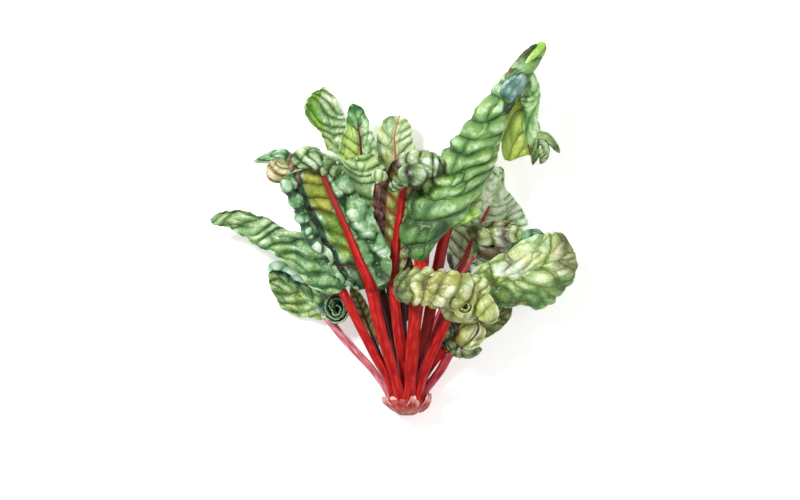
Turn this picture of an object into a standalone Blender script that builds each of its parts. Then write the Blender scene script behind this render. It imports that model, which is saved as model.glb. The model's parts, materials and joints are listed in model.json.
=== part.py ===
"""A bunch of red-stalked Swiss chard, picked whole with its crown and laid on its side.

+X runs to the bunch's right, +Y from the cut crown towards the leaf tips, and +Z up from the
surface that the bunch lies on. Each leaf is a stalk and a blade: the stalk starts in one of two
rings round the crown and ends where the blade begins, and the blade follows its midrib.
Lengths in the tables are millimetres and angles degrees. The meshes are in metres.
"""

import math

import bmesh
import bpy
import numpy as np
from mathutils import Vector

MM = 0.001
UP = np.array([0.0, 0.0, 1.0])

# --- driving dimensions ---------------------------------------------------------------------
AXIS_HEIGHT = 25.8  # of the crown's axis above the surface
RINGS = {  # radius of the stalks' centre lines, how far up the crown they start and run straight
    "outer": {"radius": 22.5, "start": 3.0, "straight": 9.0},
    "inner": {"radius": 11.5, "start": 15.0, "straight": 12.0},
}
CORE_PROFILE = (  # (along the axis, radius) of the crown's core, from its cut root end
    (-13.0, 6.5),
    (-10.0, 11.5),
    (-7.5, 14.5),
    (1.5, 15.5),
    (7.0, 15.0),
    (11.0, 11.0),
    (14.0, 7.0),
    (30.0, 4.0),
)
CORE_SIDES = 20
CORE_LOBES = 5  # old leaf bases that ripple the core's outline
CORE_RIPPLE = 0.05
STUMPS = {  # old stalks cut short: angle round the crown, length up beside the ring, width
    "stump_right": {"angle": 3, "length": 10.0, "width": 9.0},
    "stump_left": {"angle": 128, "length": 6.0, "width": 9.0},
    "stump_front": {"angle": 66, "length": 5.0, "width": 7.0},
}
STUMP_RADIUS = 29.3  # of a stump's centre line once it has turned up beside the outer ring
STUMP_ROOT_RADIUS = 16.8  # where a stump leaves the core, and how far up the crown
STUMP_ROOT_PLACE = -4.0
STUMP_TURN = 4.5  # how far in and up the stump takes to turn

STALK_THICKNESS = 0.62  # of its width
STALK_RINGS = 10
STALK_SIDES = 8
BLADE_THICKNESS = 1.6
BLADE_ROWS = 14
BLADE_COLUMNS = 6
JOIN_GAP = 1.0  # between a stalk's end and its blade
RIB_MARGIN = 3.0  # beyond the stalk's own half-width, where the blade still lies straight across
BACK_SWEEP = 0.35  # how far the margins trail behind the midrib at a blade's base
TIP_SWEEP = 0.45  # and run ahead of it at the tip, both as shares of the half-width
BEND_POWER = 1.6  # above 1, a blade bends more towards its margins than beside its midrib
RIPPLE_LAG = 1.3  # radians between the waves of the two margins

SURFACES = {  # colour, roughness
    "stalk_red": ((0.62, 0.03, 0.03), 0.35),
    "leaf_green": ((0.13, 0.28, 0.07), 0.45),
    "crown_red": ((0.66, 0.22, 0.18), 0.5),
}

# Each leaf, from the back of the bunch to the front:
#   root      ring, and angle round the crown's axis (0 right, 90 up)
#   stalk     points after the root, the last at the blade's base
#   width     of the stalk at its root and at the blade
#   midrib    points after the blade's base, the last at the tip
#   left      how far the blade reaches to the midrib's left, base to tip
#   right     and to its right
#   curl      how far the left and right halves bend up (or down, below zero), base to tip
#   faces     which way the blade's upper side faces, base to tip, where it isn't up
#   ripple    height and number of the margin's waves
LEAVES = {
    "back_centre": {
        "root": ("outer", 268),
        "stalk": ((-3, 60, 4), (-6, 96, 3)),
        "width": (11, 9),
        "midrib": ((-8, 130, 1), (-10, 164, 0), (-11, 196, 1)),
        "left": (6, 14, 18, 14, 4),
        "right": (6, 16, 20, 16, 4),
        "curl": ((0,), (0,)),
        "ripple": (2, 2),
    },
    "upper_left": {
        "root": ("outer", 235),
        "stalk": ((-22, 70, 9), (-40, 150, 7), (-54, 222, 5)),
        "width": (11, 9),
        "midrib": ((-66, 262, 1), (-78, 296, 0), (-88, 325, 2), (-95, 352, 8), (-100, 382, 17)),
        "left": (6, 16, 18, 16, 14, 16, 27, 10),
        "right": (6, 16, 18, 17, 17, 19, 15, 5),
        "curl": ((10, 20, 30, 40, 110, 90), (10,)),
        "ripple": (2, 3),
    },
    "top_centre": {
        "root": ("inner", 255),
        "stalk": ((-5, 102, 18), (-10, 198, 16)),
        "width": (10, 8),
        "midrib": ((-13, 240, 17), (-16, 275, 20), (-14, 300, 22), (-15, 322, 24), (-9, 348, 28)),
        "left": (5, 15, 18, 21, 20, 13, 3),
        "right": (5, 15, 19, 23, 23, 18, 4),
        "curl": ((20,), (20,)),
        "ripple": (2, 2),
    },
    "back_right": {
        "root": ("inner", 301),
        "stalk": ((20, 60, 17), (44, 118, 14), (62, 156, 11)),
        "width": (9, 9),
        "midrib": ((75, 188, 4), (90, 218, 0), (101, 242, 0), (109, 264, 4), (113, 286, 10)),
        "left": (10, 24, 28, 27, 24, 15, 4),
        "right": (10, 16, 38, 47, 37, 14, 4),
        "curl": ((15,), (15,)),
        "ripple": (3, 2),
    },
    "low_right": {
        "root": ("outer", 300),
        "stalk": ((28, 46, 9), (54, 76, 5)),
        "width": (10, 8),
        "midrib": ((74, 91, 1), (92, 100, 0), (110, 109, 1), (127, 118, 4)),
        "left": (6, 16, 18, 14, 4),
        "right": (6, 18, 21, 17, 5),
        "curl": ((10,), (10,)),
        "ripple": (2, 2),
    },
    "sliver_left": {
        "root": ("outer", 203),
        "stalk": ((-24, 36, 14), (-36, 66, 9)),
        "width": (8, 6),
        "midrib": ((-46, 92, 5), (-56, 118, 3), (-67, 142, 4)),
        "left": (4, 8, 9, 8, 3),
        "right": (4, 8, 9, 8, 3),
        "curl": ((20,), (20,)),
        "ripple": (1, 2),
    },
    "low_left": {
        "root": ("outer", 173),
        "stalk": ((-40, 40, 26), (-59, 61, 23), (-78, 82, 19), (-97, 105, 14)),
        "width": (11, 9),
        "midrib": ((-114, 121, 7), (-132, 137, 1), (-149, 150, 0), (-165, 160, 2)),
        "left": (8, 15, 24, 18, 8),
        "right": (24, 17, 17, 20, 7),
        "curl": ((10,), (150, 110, 100, 110, 60)),
        "ripple": (2, 3),
    },
    "bright_left": {
        "root": ("inner", 200),
        "stalk": ((-22, 90, 30), (-42, 204, 26)),
        "width": (10, 8),
        "midrib": ((-50, 250, 28), (-54, 285, 31), (-56, 315, 35), (-60, 342, 40), (-66, 361, 46)),
        "left": (6, 18, 24, 28, 26, 14, 2),
        "right": (6, 16, 21, 22, 18, 12, 2),
        "curl": ((30, 40, 50), (20,)),
        "ripple": (2, 3),
    },
    "mid_right": {
        "root": ("inner", 350),
        "stalk": ((21, 52, 32), (43, 108, 36), (63, 150, 35)),
        "width": (9, 8),
        "midrib": ((80, 178, 33), (96, 194, 34), (116, 203, 36), (140, 206, 36)),
        "left": (4, 10, 22, 17, 4),
        "right": (6, 13, 14, 11, 3),
        "curl": ((60, 80, 60), (30,)),
        "ripple": (2, 2),
    },
    "right": {
        "root": ("outer", 345),
        "stalk": ((22, 34, 28), (40, 62, 36), (60, 92, 46), (76, 116, 52)),
        "width": (11, 10),
        "midrib": ((96, 138, 58), (122, 154, 62), (150, 164, 62), (178, 172, 58), (199, 180, 50)),
        "left": (8, 26, 38, 41, 31, 7),
        "right": (8, 24, 36, 44, 29, 6),
        "curl": ((-20, -30, -40), (-20, -30, -40)),
        "ripple": (4, 3),
    },
    "arch_right": {
        "root": ("inner", 45),
        "stalk": ((18, 60, 48), (27, 100, 50), (41, 170, 48), (52, 210, 44)),
        "width": (12, 10),
        "midrib": (
            (72, 264, 40),
            (97, 326, 40),
            (120, 370, 46),
            (138, 390, 60),
            (143, 374, 74),
            (141, 350, 78),
            (143, 322, 74),
            (147, 300, 66),
        ),
        "left": (6, 20, 24, 22, 16, 12, 14, 24, 30, 30),
        "right": (6, 18, 22, 20, 14, 12, 13, 13, 16, 18),
        "curl": ((20, 20, 10), (20, 30, 60, 80, 60)),
        "faces": (UP, UP, UP, UP, (0, -1, 0.2), (0, 0, -1), (0, 0, -1)),
        "ripple": (2, 4),
    },
    "far_left": {
        "root": ("outer", 143),
        "stalk": ((-28, 40, 52), (-39, 60, 54), (-59, 100, 56), (-78, 137, 56)),
        "width": (12, 11),
        "midrib": (
            (-98, 160, 54),
            (-118, 180, 50),
            (-145, 196, 48),
            (-175, 210, 46),
            (-205, 221, 42),
            (-236, 222, 38),
        ),
        "left": (12, 26, 25, 20, 19, 11, 5),
        "right": (14, 30, 28, 14, 17, 13, 5),
        "curl": ((20, 20, 60, 60), (20, 20, 60, 60)),
        "ripple": (3, 3),
    },
    "inner_left": {
        "root": ("inner", 154),
        "stalk": ((-16, 80, 46), (-30, 138, 50)),
        "width": (9, 8),
        "midrib": ((-42, 186, 52), (-50, 232, 58), (-55, 268, 66), (-60, 298, 74)),
        "left": (6, 20, 25, 25, 23, 14),
        "right": (6, 19, 15, 16, 24, 13),
        "curl": ((20,), (30, 20, 20)),
        "ripple": (2, 3),
    },
    "centre": {
        "root": ("inner", 100),
        "stalk": ((-6, 60, 54), (-12, 100, 60), (-16, 150, 62)),
        "width": (12, 11),
        "midrib": (
            (-13, 196, 64),
            (-9, 230, 68),
            (-4, 260, 76),
            (0, 284, 90),
            (2, 291, 105),
            (2, 280, 118),
            (-1, 263, 118),
        ),
        "left": (6, 20, 25, 26, 22, 16, 16, 14),
        "right": (6, 15, 13, 11, 12, 30, 18, 14),
        "curl": ((20, 20, 40), (20, 20, 40)),
        "faces": (UP, UP, UP, (0, -0.6, 1), (0, -1, 0), (0, 0, -1)),
        "ripple": (2, 3),
    },
    "broad_left": {
        "root": ("outer", 113),
        "stalk": ((-22, 60, 62), (-34, 100, 68), (-43, 140, 72)),
        "width": (11, 15),
        "midrib": (
            (-58, 176, 76),
            (-72, 210, 80),
            (-86, 242, 86),
            (-98, 270, 98),
            (-108, 288, 114),
            (-124, 295, 124),
            (-150, 295, 122),
            (-178, 292, 108),
        ),
        "left": (12, 30, 38, 46, 51, 53, 54, 30, 24, 18, 3),
        "right": (18, 34, 40, 38, 38, 33, 27, 18, 15, 9, 3),
        "curl": ((40, 90, 100, 60), (20, 20, 60, 90, 60)),
        "faces": (UP, UP, UP, (0, -0.5, 1)),
        "ripple": (3, 4),
    },
    "tall_right": {
        "root": ("outer", 82),
        "stalk": ((6, 60, 68), (9, 100, 76), (20, 168, 84), (24, 187, 86)),
        "width": (11, 16),
        "midrib": (
            (36, 233, 92),
            (67, 288, 98),
            (97, 342, 102),
            (124, 384, 100),
            (146, 411, 94),
            (164, 433, 86),
        ),
        "left": (32, 33, 29, 24, 16, 11, 7, 3),
        "right": (20, 29, 33, 33, 22, 16, 11, 3),
        "curl": ((-50, -70, -60), (-50, -70, -60)),
        "ripple": (3, 4),
    },
    "low_curl": {
        "root": ("outer", 20),
        "stalk": ((27, 24, 42), (40, 42, 49), (50, 60, 52)),
        "width": (11, 11),
        "midrib": ((62, 70, 53), (76, 74, 53), (89, 75, 48)),
        "left": (18, 30, 30, 22, 6),
        "right": (8, 12, 14, 12, 4),
        "curl": ((30, 70, 50), (-40,)),
        "ripple": (1, 2),
    },
    "front_curl": {
        "root": ("outer", 50),
        "stalk": ((22, 42, 58), (36, 76, 70), (48, 102, 84)),
        "width": (11, 11),
        "midrib": ((56, 118, 102), (53, 131, 118), (37, 139, 128), (14, 141, 126), (-9, 138, 112)),
        "left": (10, 18, 26, 29, 25, 13),
        "right": (26, 42, 38, 28, 23, 12),
        "curl": ((-40, -80, -60), (-20, -50, -80, -60)),
        "ripple": (2, 6),
    },
}


# --- curves ---------------------------------------------------------------------------------
def smooth_curve(values, at):
    """Reads a Catmull-Rom curve through evenly spaced values, at = 0 to 1 along it."""
    knots = np.array(values, float)
    if len(knots) == 1:
        return np.repeat(knots, len(at), axis=0)
    padded = np.concatenate([[2 * knots[0] - knots[1]], knots, [2 * knots[-1] - knots[-2]]])
    place = np.clip(at, 0, 1) * (len(knots) - 1)
    start = np.minimum(place.astype(int), len(knots) - 2)
    t = (place - start).reshape(-1, *[1] * (knots.ndim - 1))
    p0, p1, p2, p3 = (padded[start + k] for k in range(4))
    return 0.5 * (
        2 * p1 + (p2 - p0) * t + (2 * p0 - 5 * p1 + 4 * p2 - p3) * t**2 + (3 * (p1 - p2) + p3 - p0) * t**3
    )


def leaf_line(leaf, part, count):
    """count points, evenly spaced along a leaf's stalk or midrib, which are one smooth curve."""
    ring, angle = leaf["root"]
    foot = around_axis(angle) * RINGS[ring]["radius"] + (0, RINGS[ring]["start"], AXIS_HEIGHT)
    straight = foot + (0, RINGS[ring]["straight"], 0)
    knots = [foot, straight, *leaf["stalk"], *leaf["midrib"]]
    base = (1 + len(leaf["stalk"])) / (len(knots) - 1)
    span = (0, base) if part == "stalk" else (base, 1)
    fine = smooth_curve(knots, np.linspace(*span, 24 * len(knots)))
    run = np.concatenate([[0], np.cumsum(np.linalg.norm(np.diff(fine, axis=0), axis=1))])
    wanted = np.linspace(0, run[-1], count)
    return np.stack([np.interp(wanted, run, fine[:, axis]) for axis in range(3)], axis=1)


def unit(vectors):
    return vectors / np.linalg.norm(vectors, axis=-1, keepdims=True)


def across(vectors, tangents):
    """The vectors with their part along the tangents taken out, as unit vectors."""
    return unit(vectors - tangents * (vectors * tangents).sum(axis=-1, keepdims=True))


def half_section(curl, steps=24):
    """Side and height of half a blade that bends by curl degrees, for a reach of 1."""
    share = np.linspace(0, 1, steps + 1)
    angle = math.radians(curl) * share**BEND_POWER
    side = np.concatenate([[0], np.cumsum(np.cos(angle[1:]))])
    height = np.concatenate([[0], np.cumsum(np.sin(angle[1:]))])
    return share, side / side.max(), height / side.max()


# --- shapes ---------------------------------------------------------------------------------
def blade_surface(leaf, rows, columns):
    """The blade's middle surface as (rows + 1) x (columns + 1) points, in millimetres."""
    spine = leaf_line(leaf, "midrib", rows + 1)
    shares = np.linspace(0, 1, rows + 1)
    tangents = unit(np.gradient(spine, axis=0))
    normals = across(smooth_curve(leaf.get("faces", (UP,)), shares), tangents)
    rights = np.cross(tangents, normals)
    reaches = [smooth_curve(leaf[side], shares) for side in ("left", "right")]
    curls = [smooth_curve(curl, shares) for curl in leaf["curl"]]
    wave_height, waves = leaf["ripple"]
    rib_zone = leaf["width"][1] / 2 + RIB_MARGIN
    points = np.zeros((rows + 1, columns + 1, 3))
    for i, share in enumerate(shares):
        sweep = -BACK_SWEEP + (BACK_SWEEP + TIP_SWEEP) * share
        for j, place in enumerate(np.linspace(-1, 1, columns + 1)):
            half = int(place > 0)
            section, side, height = half_section(curls[half][i])
            reach = reaches[half][i]
            out = reach * np.interp(abs(place), section, side)
            up = reach * np.interp(abs(place), section, height)
            wave = math.sin(2 * math.pi * waves * share + RIPPLE_LAG * half)
            up += wave_height * place**2 * wave * math.sin(math.pi * share)
            ahead = sweep * max(0.0, out - rib_zone)
            points[i, j] = spine[i] + tangents[i] * ahead + normals[i] * up
            points[i, j] += rights[i] * (out if half else -out)
    points[..., 2] = np.maximum(points[..., 2], BLADE_THICKNESS / 2)
    return points


def stalk_path(leaf, rings):
    """Centre line of a stalk, its tangents, and the normals that its broad side faces."""
    outward = around_axis(leaf["root"][1])
    path = leaf_line(leaf, "stalk", rings)
    tangents = unit(np.gradient(path, axis=0))
    path[-1] -= tangents[-1] * JOIN_GAP
    share = np.linspace(0, 1, rings)[:, None]
    turn = share**2 * (3 - 2 * share)
    facing = outward if outward[2] >= 0 else -outward
    return path, tangents, across(facing * (1 - turn) + UP * turn, tangents)


def around_axis(angle):
    turn = math.radians(angle)
    return np.array([math.cos(turn), 0.0, math.sin(turn)])


def oval_rings(path, tangents, normals, widths, thickness, sides):
    """Oval rings round a path, flat where they would go under the surface."""
    rights = np.cross(tangents, normals)
    turns = 2 * math.pi * np.arange(sides) / sides
    rings = path[:, None] + 0.5 * widths[:, None, None] * (
        rights[:, None] * np.cos(turns)[None, :, None]
        + normals[:, None] * np.sin(turns)[None, :, None] * thickness
    )
    rings[..., 2] = np.maximum(rings[..., 2], 0.0)
    return rings


# --- objects --------------------------------------------------------------------------------
def add_object(name, points, faces, surface):
    mesh = bpy.data.meshes.new(name)
    mesh.from_pydata([Vector(point) * MM for point in points], [], faces)
    work = bmesh.new()
    work.from_mesh(mesh)
    bmesh.ops.recalc_face_normals(work, faces=work.faces)
    work.to_mesh(mesh)
    work.free()
    mesh.shade_smooth()
    mesh.materials.append(surface)
    made = bpy.data.objects.new(name, mesh)
    bpy.context.scene.collection.objects.link(made)
    return made


def add_tube(name, rings, surface):
    """A closed tube through rings of points, with flat ends."""
    count, sides = rings.shape[:2]
    faces = [
        (r * sides + s, r * sides + (s + 1) % sides, (r + 1) * sides + (s + 1) % sides, (r + 1) * sides + s)
        for r in range(count - 1)
        for s in range(sides)
    ]
    end = (count - 1) * sides
    faces += [tuple(range(sides)), tuple(range(end + sides - 1, end - 1, -1))]
    return add_object(name, rings.reshape(-1, 3), faces, surface)


def add_blade(name, leaf, surface):
    points = blade_surface(leaf, BLADE_ROWS, BLADE_COLUMNS)
    wide = BLADE_COLUMNS + 1
    faces = [
        (i * wide + j, i * wide + j + 1, (i + 1) * wide + j + 1, (i + 1) * wide + j)
        for i in range(BLADE_ROWS)
        for j in range(BLADE_COLUMNS)
    ]
    blade = add_object(f"{name}_blade", points.reshape(-1, 3), faces, surface)
    wall = blade.modifiers.new("thickness", "SOLIDIFY")
    wall.thickness = BLADE_THICKNESS * MM
    wall.offset = 0
    return blade


def add_stalk(name, leaf, surface):
    path, tangents, normals = stalk_path(leaf, STALK_RINGS)
    widths = np.linspace(*leaf["width"], STALK_RINGS)
    rings = oval_rings(path, tangents, normals, widths, STALK_THICKNESS, STALK_SIDES)
    return add_tube(f"{name}_stalk", rings, surface)


def add_stump(name, stump, surface):
    """A cut stalk that leaves the core under the outer ring and turns up beside it."""
    outward = around_axis(stump["angle"])
    places = (
        (STUMP_ROOT_RADIUS, STUMP_ROOT_PLACE),
        (STUMP_RADIUS - STUMP_TURN, STUMP_ROOT_PLACE + 1),
        (STUMP_RADIUS, STUMP_TURN),
        (STUMP_RADIUS + 1, STUMP_TURN + stump["length"]),
    )
    knots = [outward * radius + (0, along, AXIS_HEIGHT) for radius, along in places]
    path = smooth_curve(knots, np.linspace(0, 1, STALK_RINGS))
    tangents = unit(np.gradient(path, axis=0))
    normals = across(np.cross(tangents, np.cross(outward, (0, 1, 0))), tangents)
    widths = np.full(STALK_RINGS, stump["width"])
    rings = oval_rings(path, tangents, normals, widths, STALK_THICKNESS, STALK_SIDES)
    return add_tube(name, rings, surface)


def add_crown(surface):
    """The crown's core: a cut root end, a wide shoulder, and a cone between the inner stalks."""
    rings = []
    for along, radius in CORE_PROFILE:
        for side in range(CORE_SIDES):
            turn = 2 * math.pi * side / CORE_SIDES
            r = radius * (1 + CORE_RIPPLE * math.sin(CORE_LOBES * turn))
            rings.append((r * math.cos(turn), along, AXIS_HEIGHT + r * math.sin(turn)))
    return add_tube("crown", np.reshape(rings, (len(CORE_PROFILE), CORE_SIDES, 3)), surface)


def centre_on_origin(pieces):
    """Puts the origin under the middle of the bunch's bounding box."""
    bpy.context.view_layer.update()
    graph = bpy.context.evaluated_depsgraph_get()
    corners = [Vector(corner) for piece in pieces for corner in piece.evaluated_get(graph).bound_box]
    low = [min(corner[axis] for corner in corners) for axis in range(3)]
    high = [max(corner[axis] for corner in corners) for axis in range(3)]
    for piece in pieces:
        piece.location = (-(low[0] + high[0]) / 2, -(low[1] + high[1]) / 2, -low[2])


def main():
    for old in list(bpy.data.objects):
        bpy.data.objects.remove(old)
    surfaces = {}
    for name, (colour, roughness) in SURFACES.items():
        surfaces[name] = bpy.data.materials.new(name)
        surfaces[name].use_nodes = True
        shader = surfaces[name].node_tree.nodes["Principled BSDF"]
        shader.inputs["Base Color"].default_value = (*colour, 1)
        shader.inputs["Roughness"].default_value = roughness
    pieces = [add_crown(surfaces["crown_red"])]
    pieces += [add_stump(name, stump, surfaces["crown_red"]) for name, stump in STUMPS.items()]
    for name, leaf in LEAVES.items():
        pieces.append(add_stalk(name, leaf, surfaces["stalk_red"]))
        pieces.append(add_blade(name, leaf, surfaces["leaf_green"]))
    centre_on_origin(pieces)


main()
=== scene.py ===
import json
import math

import bpy
import numpy as np
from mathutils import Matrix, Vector

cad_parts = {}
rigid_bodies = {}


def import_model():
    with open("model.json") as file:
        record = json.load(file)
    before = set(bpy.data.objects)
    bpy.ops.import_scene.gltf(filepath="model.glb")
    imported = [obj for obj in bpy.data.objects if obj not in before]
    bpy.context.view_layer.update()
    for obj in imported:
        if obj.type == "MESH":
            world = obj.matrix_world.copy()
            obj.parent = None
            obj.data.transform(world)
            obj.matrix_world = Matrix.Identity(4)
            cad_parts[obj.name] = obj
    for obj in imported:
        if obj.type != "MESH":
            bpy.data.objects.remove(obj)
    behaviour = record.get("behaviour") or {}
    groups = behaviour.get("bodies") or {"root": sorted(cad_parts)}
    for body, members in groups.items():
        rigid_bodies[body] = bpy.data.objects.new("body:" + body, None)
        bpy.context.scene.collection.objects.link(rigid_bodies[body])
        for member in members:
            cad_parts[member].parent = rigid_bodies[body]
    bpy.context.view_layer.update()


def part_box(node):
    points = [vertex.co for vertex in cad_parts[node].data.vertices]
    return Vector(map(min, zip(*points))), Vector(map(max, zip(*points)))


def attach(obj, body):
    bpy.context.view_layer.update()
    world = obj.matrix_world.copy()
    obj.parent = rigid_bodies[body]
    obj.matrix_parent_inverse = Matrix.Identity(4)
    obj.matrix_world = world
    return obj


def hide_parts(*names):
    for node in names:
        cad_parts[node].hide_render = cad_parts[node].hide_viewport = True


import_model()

mm = 0.001
upward = np.array([0.0, 0.0, 1.0])

# The bunch lies on its side, crown towards -Y and leaf tips towards +Y. The leaf tables below are
# in millimetres from the middle of the crown's axis, and `origin` is where that point lies.
crownLow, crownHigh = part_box("crown")
crownBack = 0.013  # from the crown's cut root end to that point
origin = np.array([(crownLow.x + crownHigh.x) / 2, crownLow.y + crownBack, 0.0])

crown = {
    "axisHeight": 25.8,  # of the crown's axis above the table
    "rings": {  # radius of the two rings of stems, where they start, how far they run straight
        "outer": (22.5, 3.0, 9.0),
        "inner": (11.5, 15.0, 12.0),
    },
    "stemDive": 11.0,  # how far the stems reach back into the core
}

leafMesh = {
    "spacing": 1.32,  # between grid points
    "thickness": 0.9,
    "backSweep": 0.35,  # how far the margins trail at the base, a share of the half-width
    "tipSweep": 0.45,  # and how far they run ahead at the tip
    "bendPower": 1.6,  # above 1, a leaf bends more towards its margins
    "ribMargin": 3.0,
    "rippleLag": 1.3,
    "floorGap": 0.3,
    "relief": 1.3,  # share of every pillow's height
    "sectionSteps": 48,  # of the curve across each half
    "pathSteps": 240,  # of the curve along a roll
    "cellBend": 0.3,  # how far the seams between cells wander
}
halfNames = ("left", "right")

# What a leaf and a roll have where their own tables say nothing else
plainShape = {
    "faces": (upward,),
    "tipRound": 9.0,  # how far from the tip and the base the margins start to round off
    "baseRound": 7.0,
    "tipLeast": 0.08,  # share of the width that is left at the very ends
    "baseLeast": 0.3,
    "ribTip": 1.4,  # width of the midrib at the tip
}
rollShape = {
    **plainShape,
    "baseLeast": 0.1,
    "turns": 1.3,
    "start": 215,
    "tight": 0.35,  # how much narrower the innermost turn is
    "flat": 0.85,  # height against width
}
plainQuilt = {
    "sweep": (0.0, 0.0),
    "spread": 0.3,  # how uneven the gaps between the side veins are
    "warp": 0.3,  # how far the side veins wander
    "paired": False,  # whether they run on from one half to the other
    "overRib": False,  # whether pillows cross the midrib
    "lean": 1.0,
    "rowDepth": 0.85,  # of the furrows along the side veins
    "split": 0.5,  # of the seams between cells
    "loose": (0.55, 0.7),  # how irregular the cells are
    "small": 7.0,  # size and height of the finest puckers
    "fine": 0.8,
    "sway": 1.2,  # height of the slow unevenness
    "uneven": 0.07,  # of the outline
    "scallop": (0.06, 0.06),  # lobes of the left and right margin
    "frill": (1.5, 24),  # height and length of the margins' short waves
    "calm": (0.25, 0.25),  # how much flatter the pillows are at the margins
    "pleats": (2.0, 10.0, 0.0),  # where the lengthwise folds start, their gap and depth
    "bubbles": (),  # round pillows: half, size, from and to across, from and to along
}
rollQuilt = {**plainQuilt, "loose": (0.5, 0.6), "fine": 0.6, "sway": 1.0}
plainLook = {
    "patches": (),  # middle along and across, reach along and across, three greens
    "puffTone": 0.72,  # how much paler the pillows' tops are: partly their own paler colour, partly painted highlight
    "valley": 0.6,  # painted shade: how dark the furrows are
    "line": 1.0,  # width of the lines along the side veins
    "lineDepth": 0.85,
    "lineLeast": 0.25,  # strength where those lines fade
    "cellDepth": 0.6,
    "smallDepth": 0.2,
    "underDepth": 0.3,
    "marginFrom": 0.94,
    "marginDepth": 0.35,
    "hueWash": 0.6,
    "sideVeins": True,
    "veinedHalves": (0, 1),
    "veinWidth": 2.2,
    "vein": "8f2a26",
    "veinFrom": 0.25,  # where the stem's red turns into the vein's colour
    "veinTo": 0.8,
    "ribHide": 2.0,  # the midrib sinks into the leaf beyond this share
    "ribLift": 0.1,
}


def fillIn(table, shape, quilt, seed):  # a leaf's or roll's own table, on top of what they all have
    whole = {**shape, **table, "seed": seed}
    whole["quilt"] = {**quilt, **table["quilt"]}
    whole["look"] = {**plainLook, **table["look"], "gap": table["quilt"]["gap"]}
    return whole


def smoothCurve(values, at):
    knots = np.array(values, float)
    if len(knots) == 1:
        return np.repeat(knots, len(at), axis=0)
    padded = np.concatenate([[2 * knots[0] - knots[1]], knots, [2 * knots[-1] - knots[-2]]])
    place = np.clip(at, 0, 1) * (len(knots) - 1)
    start = np.minimum(place.astype(int), len(knots) - 2)
    t = (place - start).reshape(-1, *[1] * (knots.ndim - 1))
    a, b, c, d = (padded[start + k] for k in range(4))
    return 0.5 * (2 * b + (c - a) * t + (2 * a - 5 * b + 4 * c - d) * t**2 + (3 * (b - c) + d - a) * t**3)


def unit(vectors):
    return vectors / np.maximum(np.linalg.norm(vectors, axis=-1, keepdims=True), 1e-9)


def squareTo(vectors, tangents):
    return unit(vectors - tangents * (vectors * tangents).sum(axis=-1, keepdims=True))


def aroundAxis(angle):
    turn = math.radians(angle)
    return np.array([math.cos(turn), 0.0, math.sin(turn)])


def easeStep(values):
    share = np.clip(values, 0, 1)
    return share * share * (3 - 2 * share)


def runAlong(points):  # distance along a line, at each of its points
    return np.concatenate([[0], np.cumsum(np.linalg.norm(np.diff(points, axis=0), axis=1))])


def pointsAt(points, places):  # where a line is, at these distances along it
    run = runAlong(points)
    return np.stack([np.interp(places, run, points[:, axis]) for axis in range(3)], axis=1)


def leafLine(leaf, part, count):  # points along the stalk or the midrib, and its length
    ring, angle = leaf["root"]
    radius, start, straight = crown["rings"][ring]
    foot = aroundAxis(angle) * radius + (0, start, crown["axisHeight"])
    knots = [foot, foot + (0, straight, 0), *leaf["stalk"], *leaf["midrib"]]
    base = (1 + len(leaf["stalk"])) / (len(knots) - 1)
    span = (0, base) if part == "stalk" else (base, 1)
    fine = smoothCurve(knots, np.linspace(*span, 40 * len(knots)))
    length = runAlong(fine)[-1]
    return pointsAt(fine, np.linspace(0, length, count)), length


def scatter(a, b, seed):
    return np.modf(np.abs(np.sin(a * 127.1 + b * 311.7 + seed * 74.7) * 43758.5453))[0]


def softNoise(x, y, seed):  # -1 to 1
    column, row = np.floor(x), np.floor(y)
    u, v = easeStep(x - column), easeStep(y - row)
    near = scatter(column, row, seed) * (1 - u) + scatter(column + 1, row, seed) * u
    far = scatter(column, row + 1, seed) * (1 - u) + scatter(column + 1, row + 1, seed) * u
    return 2 * (near * (1 - v) + far * v) - 1


# distance from the seams between cells, each cell's number, and distance from its middle
def pillows(x, y, seed, looseness):
    column, row = np.floor(x), np.floor(y)
    nearest = np.full(x.shape, 9.0)
    second = np.full(x.shape, 9.0)
    number = np.zeros(x.shape)
    for across in (-1, 0, 1):
        for along in (-2, -1, 0, 1):
            cellX, cellY = column + across, row + along
            middleX = cellX + 0.5 + (scatter(cellX, cellY, seed) - 0.5) * looseness[0]
            middleY = cellY + 0.5 + scatter(cellX, 0 * cellY, seed + 3)
            middleY = middleY + (scatter(cellX, cellY, seed + 1) - 0.5) * looseness[1]
            far = np.hypot(x - middleX, y - middleY)
            closer = far < nearest
            second = np.where(closer, nearest, np.minimum(second, far))
            number = np.where(closer, scatter(cellX, cellY, seed + 2), number)
            nearest = np.where(closer, far, nearest)
    return second - nearest, number, nearest


def halfSections(curls):  # a bent half section for each row, for a reach of 1
    steps = leafMesh["sectionSteps"]
    share = np.linspace(0, 1, steps + 1)[None, 1:]
    angle = np.radians(curls)[:, None] * share ** leafMesh["bendPower"]
    nothing = np.zeros((len(curls), 1))
    side = np.concatenate([nothing, np.cumsum(np.cos(angle), axis=1)], axis=1)
    rise = np.concatenate([nothing, np.cumsum(np.sin(angle), axis=1)], axis=1)
    widest = side.max(axis=1, keepdims=True)
    return side / widest, rise / widest, steps / widest[:, 0]


def veinFeet(leaf, half, length):  # where the side veins leave the midrib, in mm from the leaf's base
    look = leaf["quilt"]
    chance = np.random.default_rng(leaf["seed"] * 2 + (0 if look["paired"] else half))
    count = int((length + 240) / look["gap"]) + 4
    gaps = look["gap"] * chance.uniform(1 - look["spread"], 1 + look["spread"], count)
    # the first ones start well before the leaf's base, because they run forward as they go out
    return -130 + chance.uniform(0, look["gap"]) + np.cumsum(gaps)


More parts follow.
